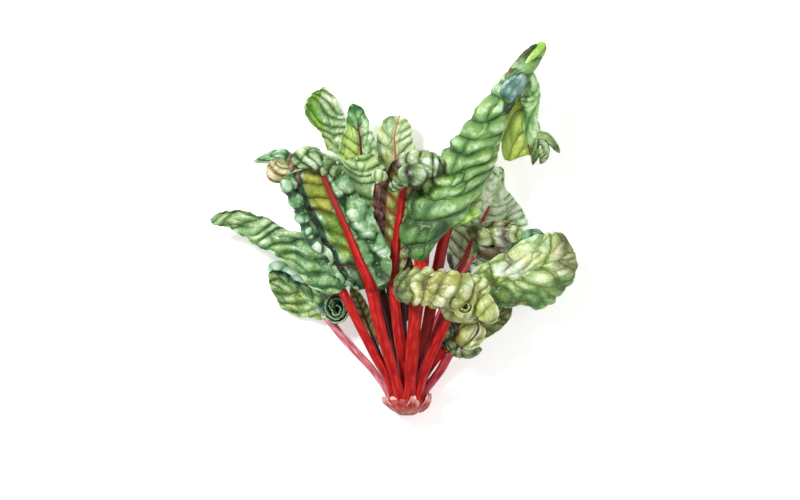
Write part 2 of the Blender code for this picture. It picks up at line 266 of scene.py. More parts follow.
def roundedEnds(leaf, shares, length):  # narrows the leaf's two ends to round ones
    tip = leaf["tipRound"] / length
    base = leaf["baseRound"] / length
    front = np.sqrt(np.clip(1 - np.clip((shares - 1 + tip) / tip, 0, 1) ** 2, 0.0, 1))
    back = np.sqrt(np.clip(1 - np.clip(1 - shares / base, 0, 1) ** 2, 0.0, 1))
    return np.maximum(front, leaf["tipLeast"]) * np.maximum(back, leaf["baseLeast"])


def leafSheet(leaf):  # the middle surface of a leaf, a grid from base to tip and from left to right
    look = leaf["quilt"]
    length = leafLine(leaf, "midrib", 2)[1]
    arcs = [max(leaf[side]) * halfSections(np.array([max(map(abs, curl))]))[2][0]
            for side, curl in zip(halfNames, leaf["curl"])]
    rows = max(12, round(length / leafMesh["spacing"]))
    columns = 2 * max(6, round(max(arcs) / leafMesh["spacing"]))
    spine, _ = leafLine(leaf, "midrib", rows + 1)
    shares = np.linspace(0, 1, rows + 1)
    tangents = unit(np.gradient(spine, axis=0))
    normals = squareTo(smoothCurve(leaf["faces"], shares), tangents)
    rights = np.cross(tangents, normals)
    places = np.linspace(-1, 1, columns + 1)
    half = (places > 0).astype(int)
    ribZone = leaf["width"][1] / 2 + leafMesh["ribMargin"]
    ends = roundedEnds(leaf, shares, length)
    along = np.repeat((shares * length)[:, None], columns + 1, axis=1)
    shape = (rows + 1, columns + 1)
    out, rise, arcOut, localCurl, reachGrid = (np.zeros(shape) for _ in range(5))
    band, seam, number = (np.zeros(shape) for _ in range(3))
    arcReach, feet = [], []
    for h in (0, 1):
        mine = half == h
        curls = smoothCurve(leaf["curl"][h], shares)
        side, height, arcShare = halfSections(curls)
        outward = np.abs(places[mine])
        reach = np.maximum(smoothCurve(leaf[halfNames[h]], shares), 1.0) * ends
        wobble = softNoise(shares * length / 15, h * 9 + 0 * shares, leaf["seed"])
        reach = reach * (1 + look["uneven"] * wobble)
        arcReach.append(reach * arcShare)
        feet.append(veinFeet(leaf, h, length))
        reachGrid[:, mine] = arcReach[h][:, None]
        step = outward * leafMesh["sectionSteps"]
        low = np.minimum(step.astype(int), leafMesh["sectionSteps"] - 1)
        part = step - low
        marginBand = bandPlace(leaf, h, feet, shares * length, arcReach[h])
        lobe = np.abs(np.sin(np.pi * marginBand)) ** 0.7 - 0.6  # the margin bulges between two veins
        grow = 1 + look["scallop"][h] * lobe[:, None] * outward[None, :] ** 3
        out[:, mine] = (side[:, low] * (1 - part) + side[:, low + 1] * part) * reach[:, None] * grow
        rise[:, mine] = (height[:, low] * (1 - part) + height[:, low + 1] * part) * reach[:, None] * grow
        arcOut[:, mine] = arcReach[h][:, None] * outward[None, :] * grow
        localCurl[:, mine] = curls[:, None] * outward[None, :] ** leafMesh["bendPower"]
        band[:, mine] = bandPlace(leaf, h, feet, along[:, mine], arcOut[:, mine])
        wander = softNoise(along[:, mine] / 17, arcOut[:, mine] / 13, leaf["seed"] + 60 + h)
        cell = arcOut[:, mine] / look["cell"] + 0.5 + leafMesh["cellBend"] * wander
        seam[:, mine], number[:, mine], _ = pillows(
            band[:, mine] + 50, cell, leaf["seed"] + 11 * h, look["loose"])
    waveHeight, waves = leaf["ripple"]
    wave = np.sin(2 * np.pi * waves * shares[:, None] + leafMesh["rippleLag"] * half[None, :])
    rise = rise + waveHeight * places[None, :] ** 2 * wave * np.sin(np.pi * shares)[:, None]
    for h in (0, 1):
        frillHeight, frillLength = perHalf(look["frill"], h)
        drift = softNoise(along / 45, 5.0 * h + 0 * along, leaf["seed"] + 5)
        turn = along / frillLength * 2 * np.pi + 2.2 * drift
        frill = frillHeight * np.abs(places[None, :]) ** 4 * np.sin(turn + 2 * h)
        rise = rise + np.where(half[None, :] == h, frill, 0)
    sweep = -leafMesh["backSweep"] + (leafMesh["backSweep"] + leafMesh["tipSweep"]) * shares
    ahead = sweep[:, None] * np.maximum(0, out - ribZone)
    signed = np.where(half[None, :] == 1, out, -out)
    points = spine[:, None] + tangents[:, None] * ahead[..., None] + normals[:, None] * rise[..., None]
    points = points + rights[:, None] * signed[..., None]
    points[..., 2] = np.maximum(points[..., 2], leafMesh["thickness"] / 2 + leafMesh["floorGap"])
    faces = sheetNormals(points)

    # pillows between the veins, standing out on the side that the bend makes its outer one
    puff, lift, smallSeam, smallPuff = puffUp(look, leaf["seed"], band, seam, number, along, arcOut)
    for h, size, inner, outer, first, last in look["bubbles"]:
        uneven = 0.08 * softNoise(along / 12, arcOut / 12, leaf["seed"] + 70)
        inside = easeStep((np.abs(places)[None, :] + uneven - inner) / 0.06 + 0.5)
        inside = inside * easeStep((outer - np.abs(places)[None, :] + uneven) / 0.06 + 0.5)
        inside = inside * easeStep((along / length - first + uneven) / 0.06 + 0.5)
        inside = inside * easeStep((last - along / length + uneven) / 0.06 + 0.5) * (half[None, :] == h)
        bend = 0.32 * softNoise(along / (0.7 * size), arcOut / (0.7 * size), leaf["seed"] + 95)
        bubbleSeam, bubbleNumber, fromMiddle = pillows(
            along / size + 30 + bend, arcOut / size + 30 - bend, leaf["seed"] + 80 + h, (0.9, 0.9))
        bubble = np.sqrt(np.clip(1 - (fromMiddle / 0.68) ** 2, 0, 1))
        puff = puff * (1 - inside) + (0.1 + 0.9 * bubble) * inside
        lift = lift * (1 - inside) + (0.1 + bubble * (0.75 + 0.6 * bubbleNumber)) * inside
        band = np.where(inside > 0.5, np.floor(band) + 0.5, band)
        seam = np.where(inside > 0.5, bubbleSeam, seam)
        number = np.where(inside > 0.5, bubbleNumber, number)
    ribHalf = np.maximum(ribWidth(leaf, shares) / 2, 0.5)[:, None]
    clear = 1 if look["overRib"] else easeStep((arcOut - ribHalf * 0.8) / 5)
    clear = clear * easeStep(along / 10)
    rowSense = np.clip((normals[:, 2] + 0.1) / 0.2, -1, 1)[:, None]
    sense = np.where(localCurl < 0, rowSense, np.clip((faces[..., 2] - 0.3) / 0.25, -1, 1))
    height = leafMesh["relief"] * look["height"] * (lift - 0.35) * sense
    height = height * np.clip(reachGrid / (1.2 * look["gap"]), 0.25, 1)
    calm = np.array(look["calm"])[half][None, :]  # flatter towards the margins
    height = height * (1 - calm * np.abs(places[None, :]) ** 2)
    height = height + look["fine"] * (smallPuff - 0.5)
    pleatFrom, pleatGap, pleatHeight = look["pleats"]
    signedArc = np.where(half[None, :] == 1, 1, -1) * arcOut
    across = signedArc + 0.12 * along + 2.5 * softNoise(along / 14, arcOut / 9, 5)
    pleat = 1 - np.abs(np.sin(np.pi * across / pleatGap))
    pleated = easeStep((along / length - pleatFrom) / 0.12)
    height = height - pleatHeight * pleated * (pleat**1.5 - 0.3) * sense
    height = height * clear + look["sway"] * softNoise(along / 38, arcOut / 30, leaf["seed"] + 7)
    points = points + faces * height[..., None]
    points[..., 2] = np.maximum(points[..., 2], leafMesh["thickness"] / 2 + leafMesh["floorGap"])
    marks = {
        "band": band,
        "seam": seam,
        "puff": puff,
        "number": number,
        "smallSeam": smallSeam,
        "pleat": pleat * pleated,
        "cross": places[None, :] * np.ones(shape),
        "along": np.repeat(shares[:, None], columns + 1, axis=1),
    }
    lay = np.stack([along, signedArc, 0 * along], axis=-1) * mm
    return {"points": points, "marks": marks, "lay": lay, "length": length, "arcReach": arcReach,
            "feet": feet, "rows": rows, "columns": columns, "normals": normals}


def puffUp(look, seed, band, seam, number, along, arcOut):  # the pillows' tops, for colour and for height
    rowRound = 1 - np.abs(2 * (band - np.floor(band)) ** look["lean"] - 1) ** 2.4
    cellRound = 1 - (1 - np.clip(seam / 0.6, 0, 1)) ** 2
    fading = softNoise(along / 19 + 8, arcOut / 17 + 8, seed + 90)  # some seams fade away
    split = look["split"] * np.clip(0.75 + 0.7 * fading, 0.1, 1)
    strength = 0.9 + 0.5 * softNoise(along / 23, arcOut / 15, seed + 91)
    depth = look["rowDepth"] * np.clip(strength, 0.4, 1)
    row = 1 - depth * (1 - rowRound)
    puff = row * (1 - split * (1 - cellRound))
    lift = row * (1 - split + split * cellRound * (0.55 + 0.9 * number))
    small = look["small"]
    smallSeam, _, _ = pillows(along / small + 90, arcOut / small * 1.2 + 20, seed + 31, (0.8, 0.8))
    return puff, lift, smallSeam, 1 - (1 - np.clip(smallSeam / 0.6, 0, 1)) ** 2


def rollSheet(roll):  # a rolled-up part of a leaf: a sheet wound round a path
    look, seed = roll["quilt"], roll["seed"]
    rough = smoothCurve(roll["path"], np.linspace(0, 1, leafMesh["pathSteps"]))
    length = runAlong(rough)[-1]
    rows = max(10, round(length / leafMesh["spacing"]))
    shares = np.linspace(0, 1, rows + 1)
    path = pointsAt(rough, shares * length)
    tangents = unit(np.gradient(path, axis=0))
    normals = squareTo(smoothCurve(roll["faces"], shares), tangents)
    rights = np.cross(tangents, normals)
    widest, turns = max(roll["radius"]), roll["turns"]
    columns = 2 * round(math.pi * widest * turns * 0.85 / leafMesh["spacing"])
    share = np.linspace(0, 1, columns + 1)[None, :]
    angle = math.radians(roll["start"]) - 2 * np.pi * turns * share
    radii = np.maximum(smoothCurve(roll["radius"], shares), 0.6) * roundedEnds(roll, shares, length)
    reach = radii[:, None] * (1 - roll["tight"] * share)
    along = np.repeat((shares * length)[:, None], columns + 1, axis=1)
    arcOut = 2 * np.pi * turns * widest * share * np.ones_like(along)
    band = bandPlace(roll, 0, [veinFeet(roll, 0, length)], along, arcOut)
    bend = leafMesh["cellBend"] * softNoise(along / 17, arcOut / 13, seed + 60)
    seam, number, _ = pillows(band + 50, arcOut / look["cell"] + 0.5 + bend, seed, look["loose"])
    puff, lift, smallSeam, smallPuff = puffUp(look, seed, band, seam, number, along, arcOut)
    height = 1.1 * look["height"] * (lift - 0.45)
    height = height + look["fine"] * (smallPuff - 0.5)
    height = height + look["sway"] * softNoise(along / 25, arcOut / 20, seed + 7)
    reach = reach + height * np.clip(radii / widest, 0.12, 1)[:, None]
    points = path[:, None] + rights[:, None] * (reach * np.cos(angle))[..., None]
    points = points + normals[:, None] * (roll["flat"] * reach * np.sin(angle))[..., None]
    marks = {"band": band, "seam": seam, "puff": puff, "number": number, "smallSeam": smallSeam,
             "pleat": 0 * band, "cross": (2 * share - 1) * np.ones_like(along),
             "along": along / length}
    lay = np.stack([along, arcOut, 0 * along], axis=-1) * mm
    return {"points": points, "marks": marks, "lay": lay, "length": length, "rows": rows, "columns": columns}


def bandPlace(leaf, h, feet, along, out):  # whole numbers of it are the side veins
    look = leaf["quilt"]
    sweep = perHalf(look["sweep"], h)
    back = along - sweep[0] * out - sweep[1] * out**2
    seed = leaf["seed"] + (0 if look["paired"] else 17 * h)
    back = back + look["gap"] * look["warp"] * softNoise(along / 26, out / 22 + 3.5, seed + 50)
    return np.interp(back, feet[h], np.arange(len(feet[h])))


def perHalf(value, h):
    return value[h] if isinstance(value[0], tuple) else value


def sheetNormals(points):
    alongStep = np.gradient(points, axis=0)
    acrossStep = np.gradient(points, axis=1)
    return unit(np.cross(acrossStep, alongStep))


def ribWidth(leaf, shares):  # the midrib, from the stem's width down to a thread at the tip
    wide, thin = leaf["width"][1], leaf["ribTip"]
    return thin + (wide - thin) * (0.55 * (1 - shares) + 0.45 * np.exp(-shares * 11)) * (1 - shares**6)


def makePiece(name, points, faces, marks, finish):
    mesh = bpy.data.meshes.new(name)
    mesh.from_pydata((points * mm + origin).tolist(), [], faces)
    mesh.shade_smooth()
    for mark, values in marks.items():
        vector = values.ndim == 2
        layer = mesh.attributes.new(mark, "FLOAT_VECTOR" if vector else "FLOAT", "POINT")
        layer.data.foreach_set("vector" if vector else "value", values.astype(np.float32).ravel())
    mesh.materials.append(finish)
    piece = bpy.data.objects.new(name, mesh)
    bpy.context.scene.collection.objects.link(piece)
    return piece


def shellFaces(rows, columns):  # both sides of a sheet and the rim between them
    wide = columns + 1
    count = (rows + 1) * wide
    corner = (np.arange(rows)[:, None] * wide + np.arange(columns)[None, :]).ravel()
    top = np.stack([corner, corner + 1, corner + wide + 1, corner + wide], axis=1)
    bottom = top[:, ::-1] + count
    left = np.arange(rows) * wide
    right = left + columns
    base = np.arange(columns)
    tip = base + rows * wide
    rim = [
        np.stack([left, left + wide, left + wide + count, left + count], axis=1),
        np.stack([right + wide, right, right + count, right + wide + count], axis=1),
        np.stack([base + 1, base, base + count, base + 1 + count], axis=1),
        np.stack([tip, tip + 1, tip + 1 + count, tip + count], axis=1),
    ]
    return np.concatenate([top, bottom, *rim]).tolist()


def twoSided(points, half):  # a sheet's upper and lower sides, kept off the table
    away = sheetNormals(points) * half[..., None]
    both = np.concatenate([(points + away).reshape(-1, 3), (points - away).reshape(-1, 3)])
    both[:, 2] = np.maximum(both[:, 2], leafMesh["floorGap"])
    return both


def makeLeaf(name, leaf, sheet):
    thick = leafMesh["thickness"] * (1 - 0.45 * np.abs(sheet["marks"]["cross"]) ** 6)
    both = twoSided(sheet["points"], thick / 2)
    marks = {mark: np.tile(values.ravel(), 2) for mark, values in sheet["marks"].items()}
    marks["lay"] = np.tile(sheet["lay"].reshape(-1, 3), (2, 1))
    marks["under"] = np.repeat([0.0, 1.0], len(both) // 2)
    for number in range(len(leaf["look"]["patches"])):
        marks[f"patch{number}"] = np.tile(patchMask(leaf, sheet, number).ravel(), 2)
    faces = shellFaces(sheet["rows"], sheet["columns"])
    return makePiece(name, both, faces, marks, leafFinish(name, leaf["look"]))


def patchMask(leaf, sheet, number):  # 1 inside an uneven oval patch, 0 outside
    along, cross = sheet["marks"]["along"], sheet["marks"]["cross"]
    (alongMid, crossMid), (alongReach, crossReach), _ = leaf["look"]["patches"][number]
    uneven = 0.25 * softNoise(along * sheet["length"] / 16, cross * 3, leaf["seed"] + 40 + number)
    far = ((along - alongMid) / alongReach) ** 2 + ((cross - crossMid) / crossReach) ** 2
    return easeStep((1 + uneven - far) / 0.5)


def tubeFaces(rings, sides, first=0):
    ring = np.arange(rings - 1)[:, None] * sides + first
    side = np.arange(sides)[None, :]
    after = (side + 1) % sides
    walls = np.stack([ring + side, ring + after, ring + sides + after, ring + sides + side], axis=-1)
    end = first + (rings - 1) * sides
    caps = [tuple(range(first + sides - 1, first - 1, -1)), tuple(range(end, end + sides))]
    return walls.reshape(-1, 4).tolist() + caps


def tube(path, tangents, normals, widths, flatness, sides, flutes=0.0, seed=0):
    turns = 2 * np.pi * np.arange(sides) / sides
    rights = np.cross(tangents, normals)
    ridge = 0.6 * np.cos(7 * turns + seed) + 0.4 * np.cos(12 * turns + 2.1 * seed)
    swell = 1 + flutes * ridge[None, :] * np.ones((len(path), 1))
    half = 0.5 * widths[:, None, None] * swell[..., None]
    rings = path[:, None] + half * (
        rights[:, None] * np.cos(turns)[None, :, None]
        + normals[:, None] * (np.sin(turns)[None, :] * np.reshape(flatness, (-1, 1)))[..., None]
    )
    return rings, np.repeat(ridge[None, :], len(path), axis=0), np.repeat(turns[None, :], len(path), axis=0)


stems = {
    "flatness": 0.62,  # thickness against width
    "flutes": 0.035,  # depth of the lengthwise ridges, a share of the width
    "sides": 30,
    "spacing": 3.0,  # between rings
    "rootFlare": 0.22,  # how much wider a stem is where it joins the crown
    "sideVeinSides": 6,
    "diveRings": 5,  # where a stem runs back into the crown
    "ribSpacing": 2.2,  # between rings of the midrib
    "ribFlatness": 0.8,
    "rootColour": "d9806f",
}


def makeStem(name, leaf, sheet):
    look = leaf["look"]
    length = leafLine(leaf, "stalk", 2)[1]
    rings = max(12, round(length / stems["spacing"]))
    path, _ = leafLine(leaf, "stalk", rings)
    outward = aroundAxis(leaf["root"][1])
    back = np.linspace(1, 0, stems["diveRings"] + 1)[:-1, None]
    radius = crown["rings"][leaf["root"][0]][0]
    dive = path[0] - outward * radius * 0.55 * back**2 - np.array([0, crown["stemDive"], 0]) * back
    path = np.concatenate([dive, path])
    rings = len(path)
    tangents = unit(np.gradient(path, axis=0))
    facing = outward if outward[2] >= 0 else -outward
    turn = easeStep(np.linspace(0, 1, rings))[:, None]
    normals = squareTo(facing * (1 - turn) + upward * turn, tangents)
    far = np.maximum(0, np.linspace(-crown["stemDive"], length, rings))
    widths = np.linspace(*leaf["width"], rings) * (1 + stems["rootFlare"] * np.exp(-far / 9))
    widths[:stems["diveRings"]] *= 1 - 0.4 * back[:, 0]
    widths = widths * (1 + 0.03 * softNoise(far / 22, far * 0, leaf["seed"]))
    ribRings = max(10, round(sheet["length"] / stems["ribSpacing"]))
    pick = np.round(np.linspace(0, sheet["rows"], ribRings)).astype(int)
    ribShares = np.linspace(0, 1, ribRings)
    ribWidths = ribWidth(leaf, ribShares)
    hidden = easeStep((ribShares - look["ribHide"]) / 0.08)
    lift = (look["ribLift"] * (1 - hidden) - 0.8 * hidden) * ribWidths
    lift = (lift - 1.5 * hidden)[:, None]
    middle = sheet["columns"] // 2
    ribPath = sheet["points"][pick, middle] + sheet["normals"][pick] * lift
    path = np.concatenate([path[:-1], ribPath])
    normals = np.concatenate([normals[:-1], sheet["normals"][pick]])
    widths = np.concatenate([widths[:-1], ribWidths])
    tangents = unit(np.gradient(path, axis=0))
    normals = squareTo(normals, tangents)
    ribFlatness = np.linspace(stems["flatness"], stems["ribFlatness"], ribRings)
    flatness = np.concatenate([np.full(rings - 1, stems["flatness"]), ribFlatness])
    body, ridge, around = tube(path, tangents, normals, widths, flatness, stems["sides"], stems["flutes"],
                               leaf["seed"])
    run = runAlong(path)
    vein = np.concatenate([np.zeros(rings - 1), ribShares**0.7])
    grid = np.ones_like(ridge)
    parts = [body.reshape(-1, 3)]
    faces = tubeFaces(len(path), stems["sides"])
    marks = {
        "run": [(run[:, None] * grid).ravel()],
        "ridge": [ridge.ravel()],
        "around": [around.ravel()],
        "vein": [(vein[:, None] * grid).ravel()],
    }
    first = len(parts[0])
    if look["sideVeins"]:
        for veinPath, veinNormals, radii, start in sideVeins(leaf, sheet):
            veinTangents = unit(np.gradient(veinPath, axis=0))
            veinNormals = squareTo(veinNormals, veinTangents)
            ring, _, turns = tube(veinPath, veinTangents, veinNormals, 2 * radii, np.full(len(radii), 0.9),
                                  stems["sideVeinSides"])
            faces += tubeFaces(len(veinPath), stems["sideVeinSides"], first)
            first += ring.size // 3
            parts.append(ring.reshape(-1, 3))
            one = np.ones_like(turns)
            marks["run"].append((one * start).ravel())
            marks["ridge"].append(0 * one.ravel())
            marks["around"].append(turns.ravel())
            marks["vein"].append((one * np.linspace(0.45, 1.3, len(veinPath))[:, None]).ravel())
    points = np.concatenate(parts)
    points[:, 2] = np.maximum(points[:, 2], leafMesh["floorGap"])
    marks = {mark: np.concatenate(values) for mark, values in marks.items()}
    marks["lay"] = np.stack([marks["run"] * mm, marks["around"] * 0.003, 0 * marks["run"]], axis=1)
    return makePiece(f"{name}_stem", points, faces, marks, stemFinish(name, look))


def sideVeins(leaf, sheet):  # each one's points, which way is up, radii, and where it starts
    thick = leaf["look"]["veinWidth"]
    for h in leaf["look"]["veinedHalves"]:
        for number, foot in enumerate(sheet["feet"][h]):
            share = foot / sheet["length"]
            if not 0.02 < share < min(0.95, leaf["look"]["ribHide"]):
                continue
            limit = sheet["arcReach"][h].max()
            out = np.linspace(0, limit * 0.94, 26)
            lengths = np.linspace(0, sheet["length"], sheet["rows"] + 1)
            places = [bandPlace(leaf, h, sheet["feet"], lengths, np.full(len(lengths), far)) for far in out]
            along = np.array([np.interp(number, np.maximum.accumulate(place), lengths) for place in places])
            reach = np.interp(along, lengths, sheet["arcReach"][h])
            keep = (along < sheet["length"] * 0.985) & (out < reach * 0.93)
            keep = np.cumprod(keep).astype(bool)
            if keep.sum() < 4:
                continue
            out, along, reach = out[keep], along[keep], reach[keep]
            row = along / sheet["length"] * sheet["rows"]
            column = (1 + (out / reach) * (1 if h else -1)) * sheet["columns"] / 2
            faces = readGrid(sheet["normalGrid"], row, column)
            path = readGrid(sheet["points"], row, column)
            small = 1 - 0.4 * share
            radii = 0.5 * thick * small * (1 - 0.8 * np.linspace(0, 1, len(out)) ** 0.8) + 0.1
            yield path, faces, radii, foot


def readGrid(grid, row, column):
    row = np.clip(row, 0, grid.shape[0] - 1.001)
    column = np.clip(column, 0, grid.shape[1] - 1.001)
    i, j = row.astype(int), column.astype(int)
    u, v = (row - i)[:, None], (column - j)[:, None]
    low = grid[i, j] * (1 - v) + grid[i, j + 1] * v
    high = grid[i + 1, j] * (1 - v) + grid[i + 1, j + 1] * v
    return low * (1 - u) + high * u


def tint(code):  # a six-figure colour code as a linear colour
    parts = [int(code[k:k + 2], 16) / 255 for k in (0, 2, 4)]
    return (*[p / 12.92 if p <= 0.04045 else ((p + 0.055) / 1.055) ** 2.4 for p in parts], 1.0)


def addNode(tree, kind, inputs=None, **settings):
    made = tree.nodes.new(kind)
    for key, value in settings.items():
        setattr(made, key, value)
    for socket, value in (inputs or {}).items():
        if isinstance(value, bpy.types.NodeSocket):
            tree.links.new(value, made.inputs[socket])
        else:
            made.inputs[socket].default_value = value
    return made


def readMark(tree, mark, vector=False):
    made = addNode(tree, "ShaderNodeAttribute", attribute_name=mark)
    return made.outputs["Vector" if vector else "Fac"]


def stretch(tree, value, low, high, toLow=0.0, toHigh=1.0):
    return addNode(tree, "ShaderNodeMapRange", {0: value, 1: low, 2: high, 3: toLow, 4: toHigh}).outputs[0]


def sums(tree, kind, a, b, clamp=False):
    return addNode(tree, "ShaderNodeMath", {0: a, 1: b}, operation=kind, use_clamp=clamp).outputs[0]


def mixColours(tree, share, a, b, blend="MIX"):
    inputs = {0: share, 6: a, 7: b}
    return addNode(tree, "ShaderNodeMix", inputs, data_type="RGBA", blend_type=blend).outputs[2]


def colourRamp(tree, value, stops):
    made = addNode(tree, "ShaderNodeValToRGB", {0: value})
    ramp = made.color_ramp
    while len(ramp.elements) < len(stops):
        ramp.elements.new(0.5)
    for element, (place, code) in zip(ramp.elements, stops):
        element.position = place
        element.color = tint(code)
    return made.outputs[0]


def startFinish(name):
    finish = bpy.data.materials.new(name)
    finish.use_nodes = True
    shader = finish.node_tree.nodes["Principled BSDF"]
    return finish, finish.node_tree, shader


leafSurface = {
    "roughness": (0.26, 0.46),
    "washScale": 55.0,  # of broad tone, small spots, the vein net, hues, and gaps in the lines
    "spotScale": 260.0,
    "netScale": 330.0,
    "hueScale": 34.0,
    "breakScale": 85.0,
    "bump": 0.28,
    "bumpDistance": 0.0007,
}


def leafFinish(name, look):
    finish, tree, shader = startFinish(f"{name}_green")
    lay = readMark(tree, "lay", True)
    wash = addNode(tree, "ShaderNodeTexNoise",
                   {"Vector": lay, "Scale": leafSurface["washScale"], "Detail": 5.0,
                                                "Roughness": 0.6})
    spots = addNode(tree, "ShaderNodeTexNoise",
                    {"Vector": lay, "Scale": leafSurface["spotScale"], "Detail": 3.0,
                                                 "Roughness": 0.6})
    net = addNode(tree, "ShaderNodeTexVoronoi", {"Vector": lay, "Scale": leafSurface["netScale"]},
                  feature="DISTANCE_TO_EDGE")
    puff = readMark(tree, "puff")
    tone = sums(tree, "MULTIPLY", puff, look["puffTone"])
    tone = sums(tree, "ADD", tone, stretch(tree, wash.outputs[0], 0.3, 0.7, -0.22, 0.28))
    tone = sums(tree, "ADD", tone, stretch(tree, readMark(tree, "number"), 0, 1, -0.05, 0.08))
    tone = sums(tree, "ADD", tone, stretch(tree, spots.outputs[0], 0.3, 0.7, -0.06, 0.08), True)
    deep, middle, light, pale = look["greens"]
    # the ramp runs from deep in the furrows to pale on the pillows' tops: the leaf's own paler bulges, with
    # painted shade and painted highlight
    colour = colourRamp(tree, tone, ((0.0, deep), (0.34, middle), (0.66, light), (0.92, pale)))
    for number, (_, _, codes) in enumerate(look["patches"]):
        patch = colourRamp(tree, tone, ((0.05, codes[0]), (0.6, codes[1]), (0.95, codes[2])))
        colour = mixColours(tree, readMark(tree, f"patch{number}"), colour, patch)
    under = sums(tree, "MULTIPLY", readMark(tree, "under"), look["underDepth"])
    underside = colourRamp(tree, tone, ((0.0, look.get("under", light)), (1.0, look.get("under", pale))))
    colour = mixColours(tree, under, colour, underside)
    netLine = stretch(tree, net.outputs[0], 0.0, 0.12, 0.28, 0.0)
    colour = mixColours(tree, netLine, colour, tint(middle))
    edge = addNode(tree, "ShaderNodeMath", {0: readMark(tree, "cross")}, operation="ABSOLUTE").outputs[0]
    margin = stretch(tree, edge, look["marginFrom"], 1.0, 0.0, look["marginDepth"])
    colour = mixColours(tree, margin, colour, tint(look.get("margin", pale)))
    bandShare = addNode(tree, "ShaderNodeMath", {0: readMark(tree, "band")}, operation="FRACT").outputs[0]
    fromMiddle = addNode(tree, "ShaderNodeMath", {0: bandShare, 1: 0.5}, operation="SUBTRACT").outputs[0]
    fromMiddle = addNode(tree, "ShaderNodeMath", {0: fromMiddle}, operation="ABSOLUTE").outputs[0]
    lineShare = 0.8 * look["line"] / look["gap"]
    rowLine = stretch(tree, fromMiddle, 0.5 - lineShare * 1.6, 0.5 - lineShare * 0.3, 0.0, look["lineDepth"])
    cellLine = stretch(tree, readMark(tree, "seam"), 0.02, 0.11, look["cellDepth"], 0.0)
    smallLine = stretch(tree, readMark(tree, "smallSeam"), 0.0, 0.16, look["smallDepth"], 0.0)
    pleatLine = stretch(tree, readMark(tree, "pleat"), 0.6, 0.95, 0.0, 0.85)
    hues = addNode(tree, "ShaderNodeTexNoise",
                   {"Vector": lay, "Scale": leafSurface["hueScale"], "Detail": 2.5,
                                                "Roughness": 0.6})
    hueWash = colourRamp(tree, hues.outputs[0], ((0.3, "b9dcd8"), (0.5, "ffffff"), (0.7, "fff0a0")))
    colour = mixColours(tree, look["hueWash"], colour, hueWash, "MULTIPLY")
    breaks = addNode(tree, "ShaderNodeTexNoise", {"Vector": lay, "Scale": leafSurface["breakScale"],
                                                  "Detail": 2.0})
    kept = stretch(tree, breaks.outputs[0], 0.4, 0.56, look["lineLeast"], 1.0)
    rowLine, cellLine = (sums(tree, "MULTIPLY", line, kept) for line in (rowLine, cellLine))
    # painted shade: the furrows between the pillows are darkened towards the deep green
    valley = stretch(tree, puff, 0.05, 0.5, look["valley"], 0.0)
    colour = mixColours(tree, valley, colour, tint(deep))
    colour = mixColours(tree, smallLine, colour, tint(look.get("cellLine", deep)))
    colour = mixColours(tree, cellLine, colour, tint(look.get("cellLine", deep)))
    colour = mixColours(tree, rowLine, colour, tint(look.get("rowLine", deep)))
    colour = mixColours(tree, pleatLine, colour, tint(look.get("pleatLine", deep)))
    tree.links.new(colour, shader.inputs["Base Color"])
    rough = stretch(tree, wash.outputs[0], 0.3, 0.7, *leafSurface["roughness"])
    tree.links.new(rough, shader.inputs["Roughness"])
    height = sums(tree, "MULTIPLY", spots.outputs[0], 0.6)
    height = sums(tree, "ADD", height, stretch(tree, net.outputs[0], 0.0, 0.2, 0.0, 0.8))
    bump = addNode(tree, "ShaderNodeBump", {"Height": height, "Strength": leafSurface["bump"],
                                            "Distance": leafSurface["bumpDistance"]})
    tree.links.new(bump.outputs[0], shader.inputs["Normal"])
    shader.inputs["Specular IOR Level"].default_value = 0.45
    return finish


def stemFinish(name, look):
    finish, tree, shader = startFinish(f"{name}_stemRed")
    lay = readMark(tree, "lay", True)
    longWays = addNode(tree, "ShaderNodeMapping", {"Vector": lay, "Scale": (1.0, 9.0, 1.0)})
    streaks = addNode(tree, "ShaderNodeTexNoise",
                      {"Vector": longWays.outputs[0], "Scale": 45.0, "Detail": 5.0,
                                                   "Roughness": 0.65})
    wash = addNode(tree, "ShaderNodeTexNoise", {"Vector": lay, "Scale": 40.0, "Detail": 3.0})
    ridge = readMark(tree, "ridge")
    tone = stretch(tree, streaks.outputs[0], 0.36, 0.66, 0.0, 0.65)
    # painted highlight: the crests of the lengthwise ridges are made lighter
    tone = sums(tree, "ADD", tone, stretch(tree, ridge, -1.0, 1.0, 0.0, 0.3))
    tone = sums(tree, "ADD", tone, stretch(tree, wash.outputs[0], 0.3, 0.7, -0.12, 0.12), True)
    deep, middle, light = look["reds"]
    colour = colourRamp(tree, tone, ((0.1, deep), (0.5, middle), (0.95, light)))
    run = readMark(tree, "run")
    root = stretch(tree, run, 2.0, 20.0, 0.55, 0.0)
    colour = mixColours(tree, root, colour, tint(stems["rootColour"]))
    vein = stretch(tree, readMark(tree, "vein"), look["veinFrom"], look["veinTo"], 0.0, 1.0)
    colour = mixColours(tree, vein, colour, tint(look["vein"]))
    tree.links.new(colour, shader.inputs["Base Color"])
    rough = stretch(tree, streaks.outputs[0], 0.3, 0.7, 0.3, 0.48)
    tree.links.new(rough, shader.inputs["Roughness"])
    bump = addNode(tree, "ShaderNodeBump",
                   {"Height": streaks.outputs[0], "Strength": 0.4, "Distance": 0.0006})
    tree.links.new(bump.outputs[0], shader.inputs["Normal"])
    shader.inputs["Specular IOR Level"].default_value = 0.25
    return finish


brightReds = ("860c09", "b0120f", "d83a30")
deepReds = ("640a07", "920f0c", "b82a22")
# painted shade: the stems at the back of the bunch get darker maroon reds because they lie in shade
shadedBackReds = ("1c0608", "3c1214", "6a2420")
pinkReds = ("98404c", "cc6a76", "f2c4c6")

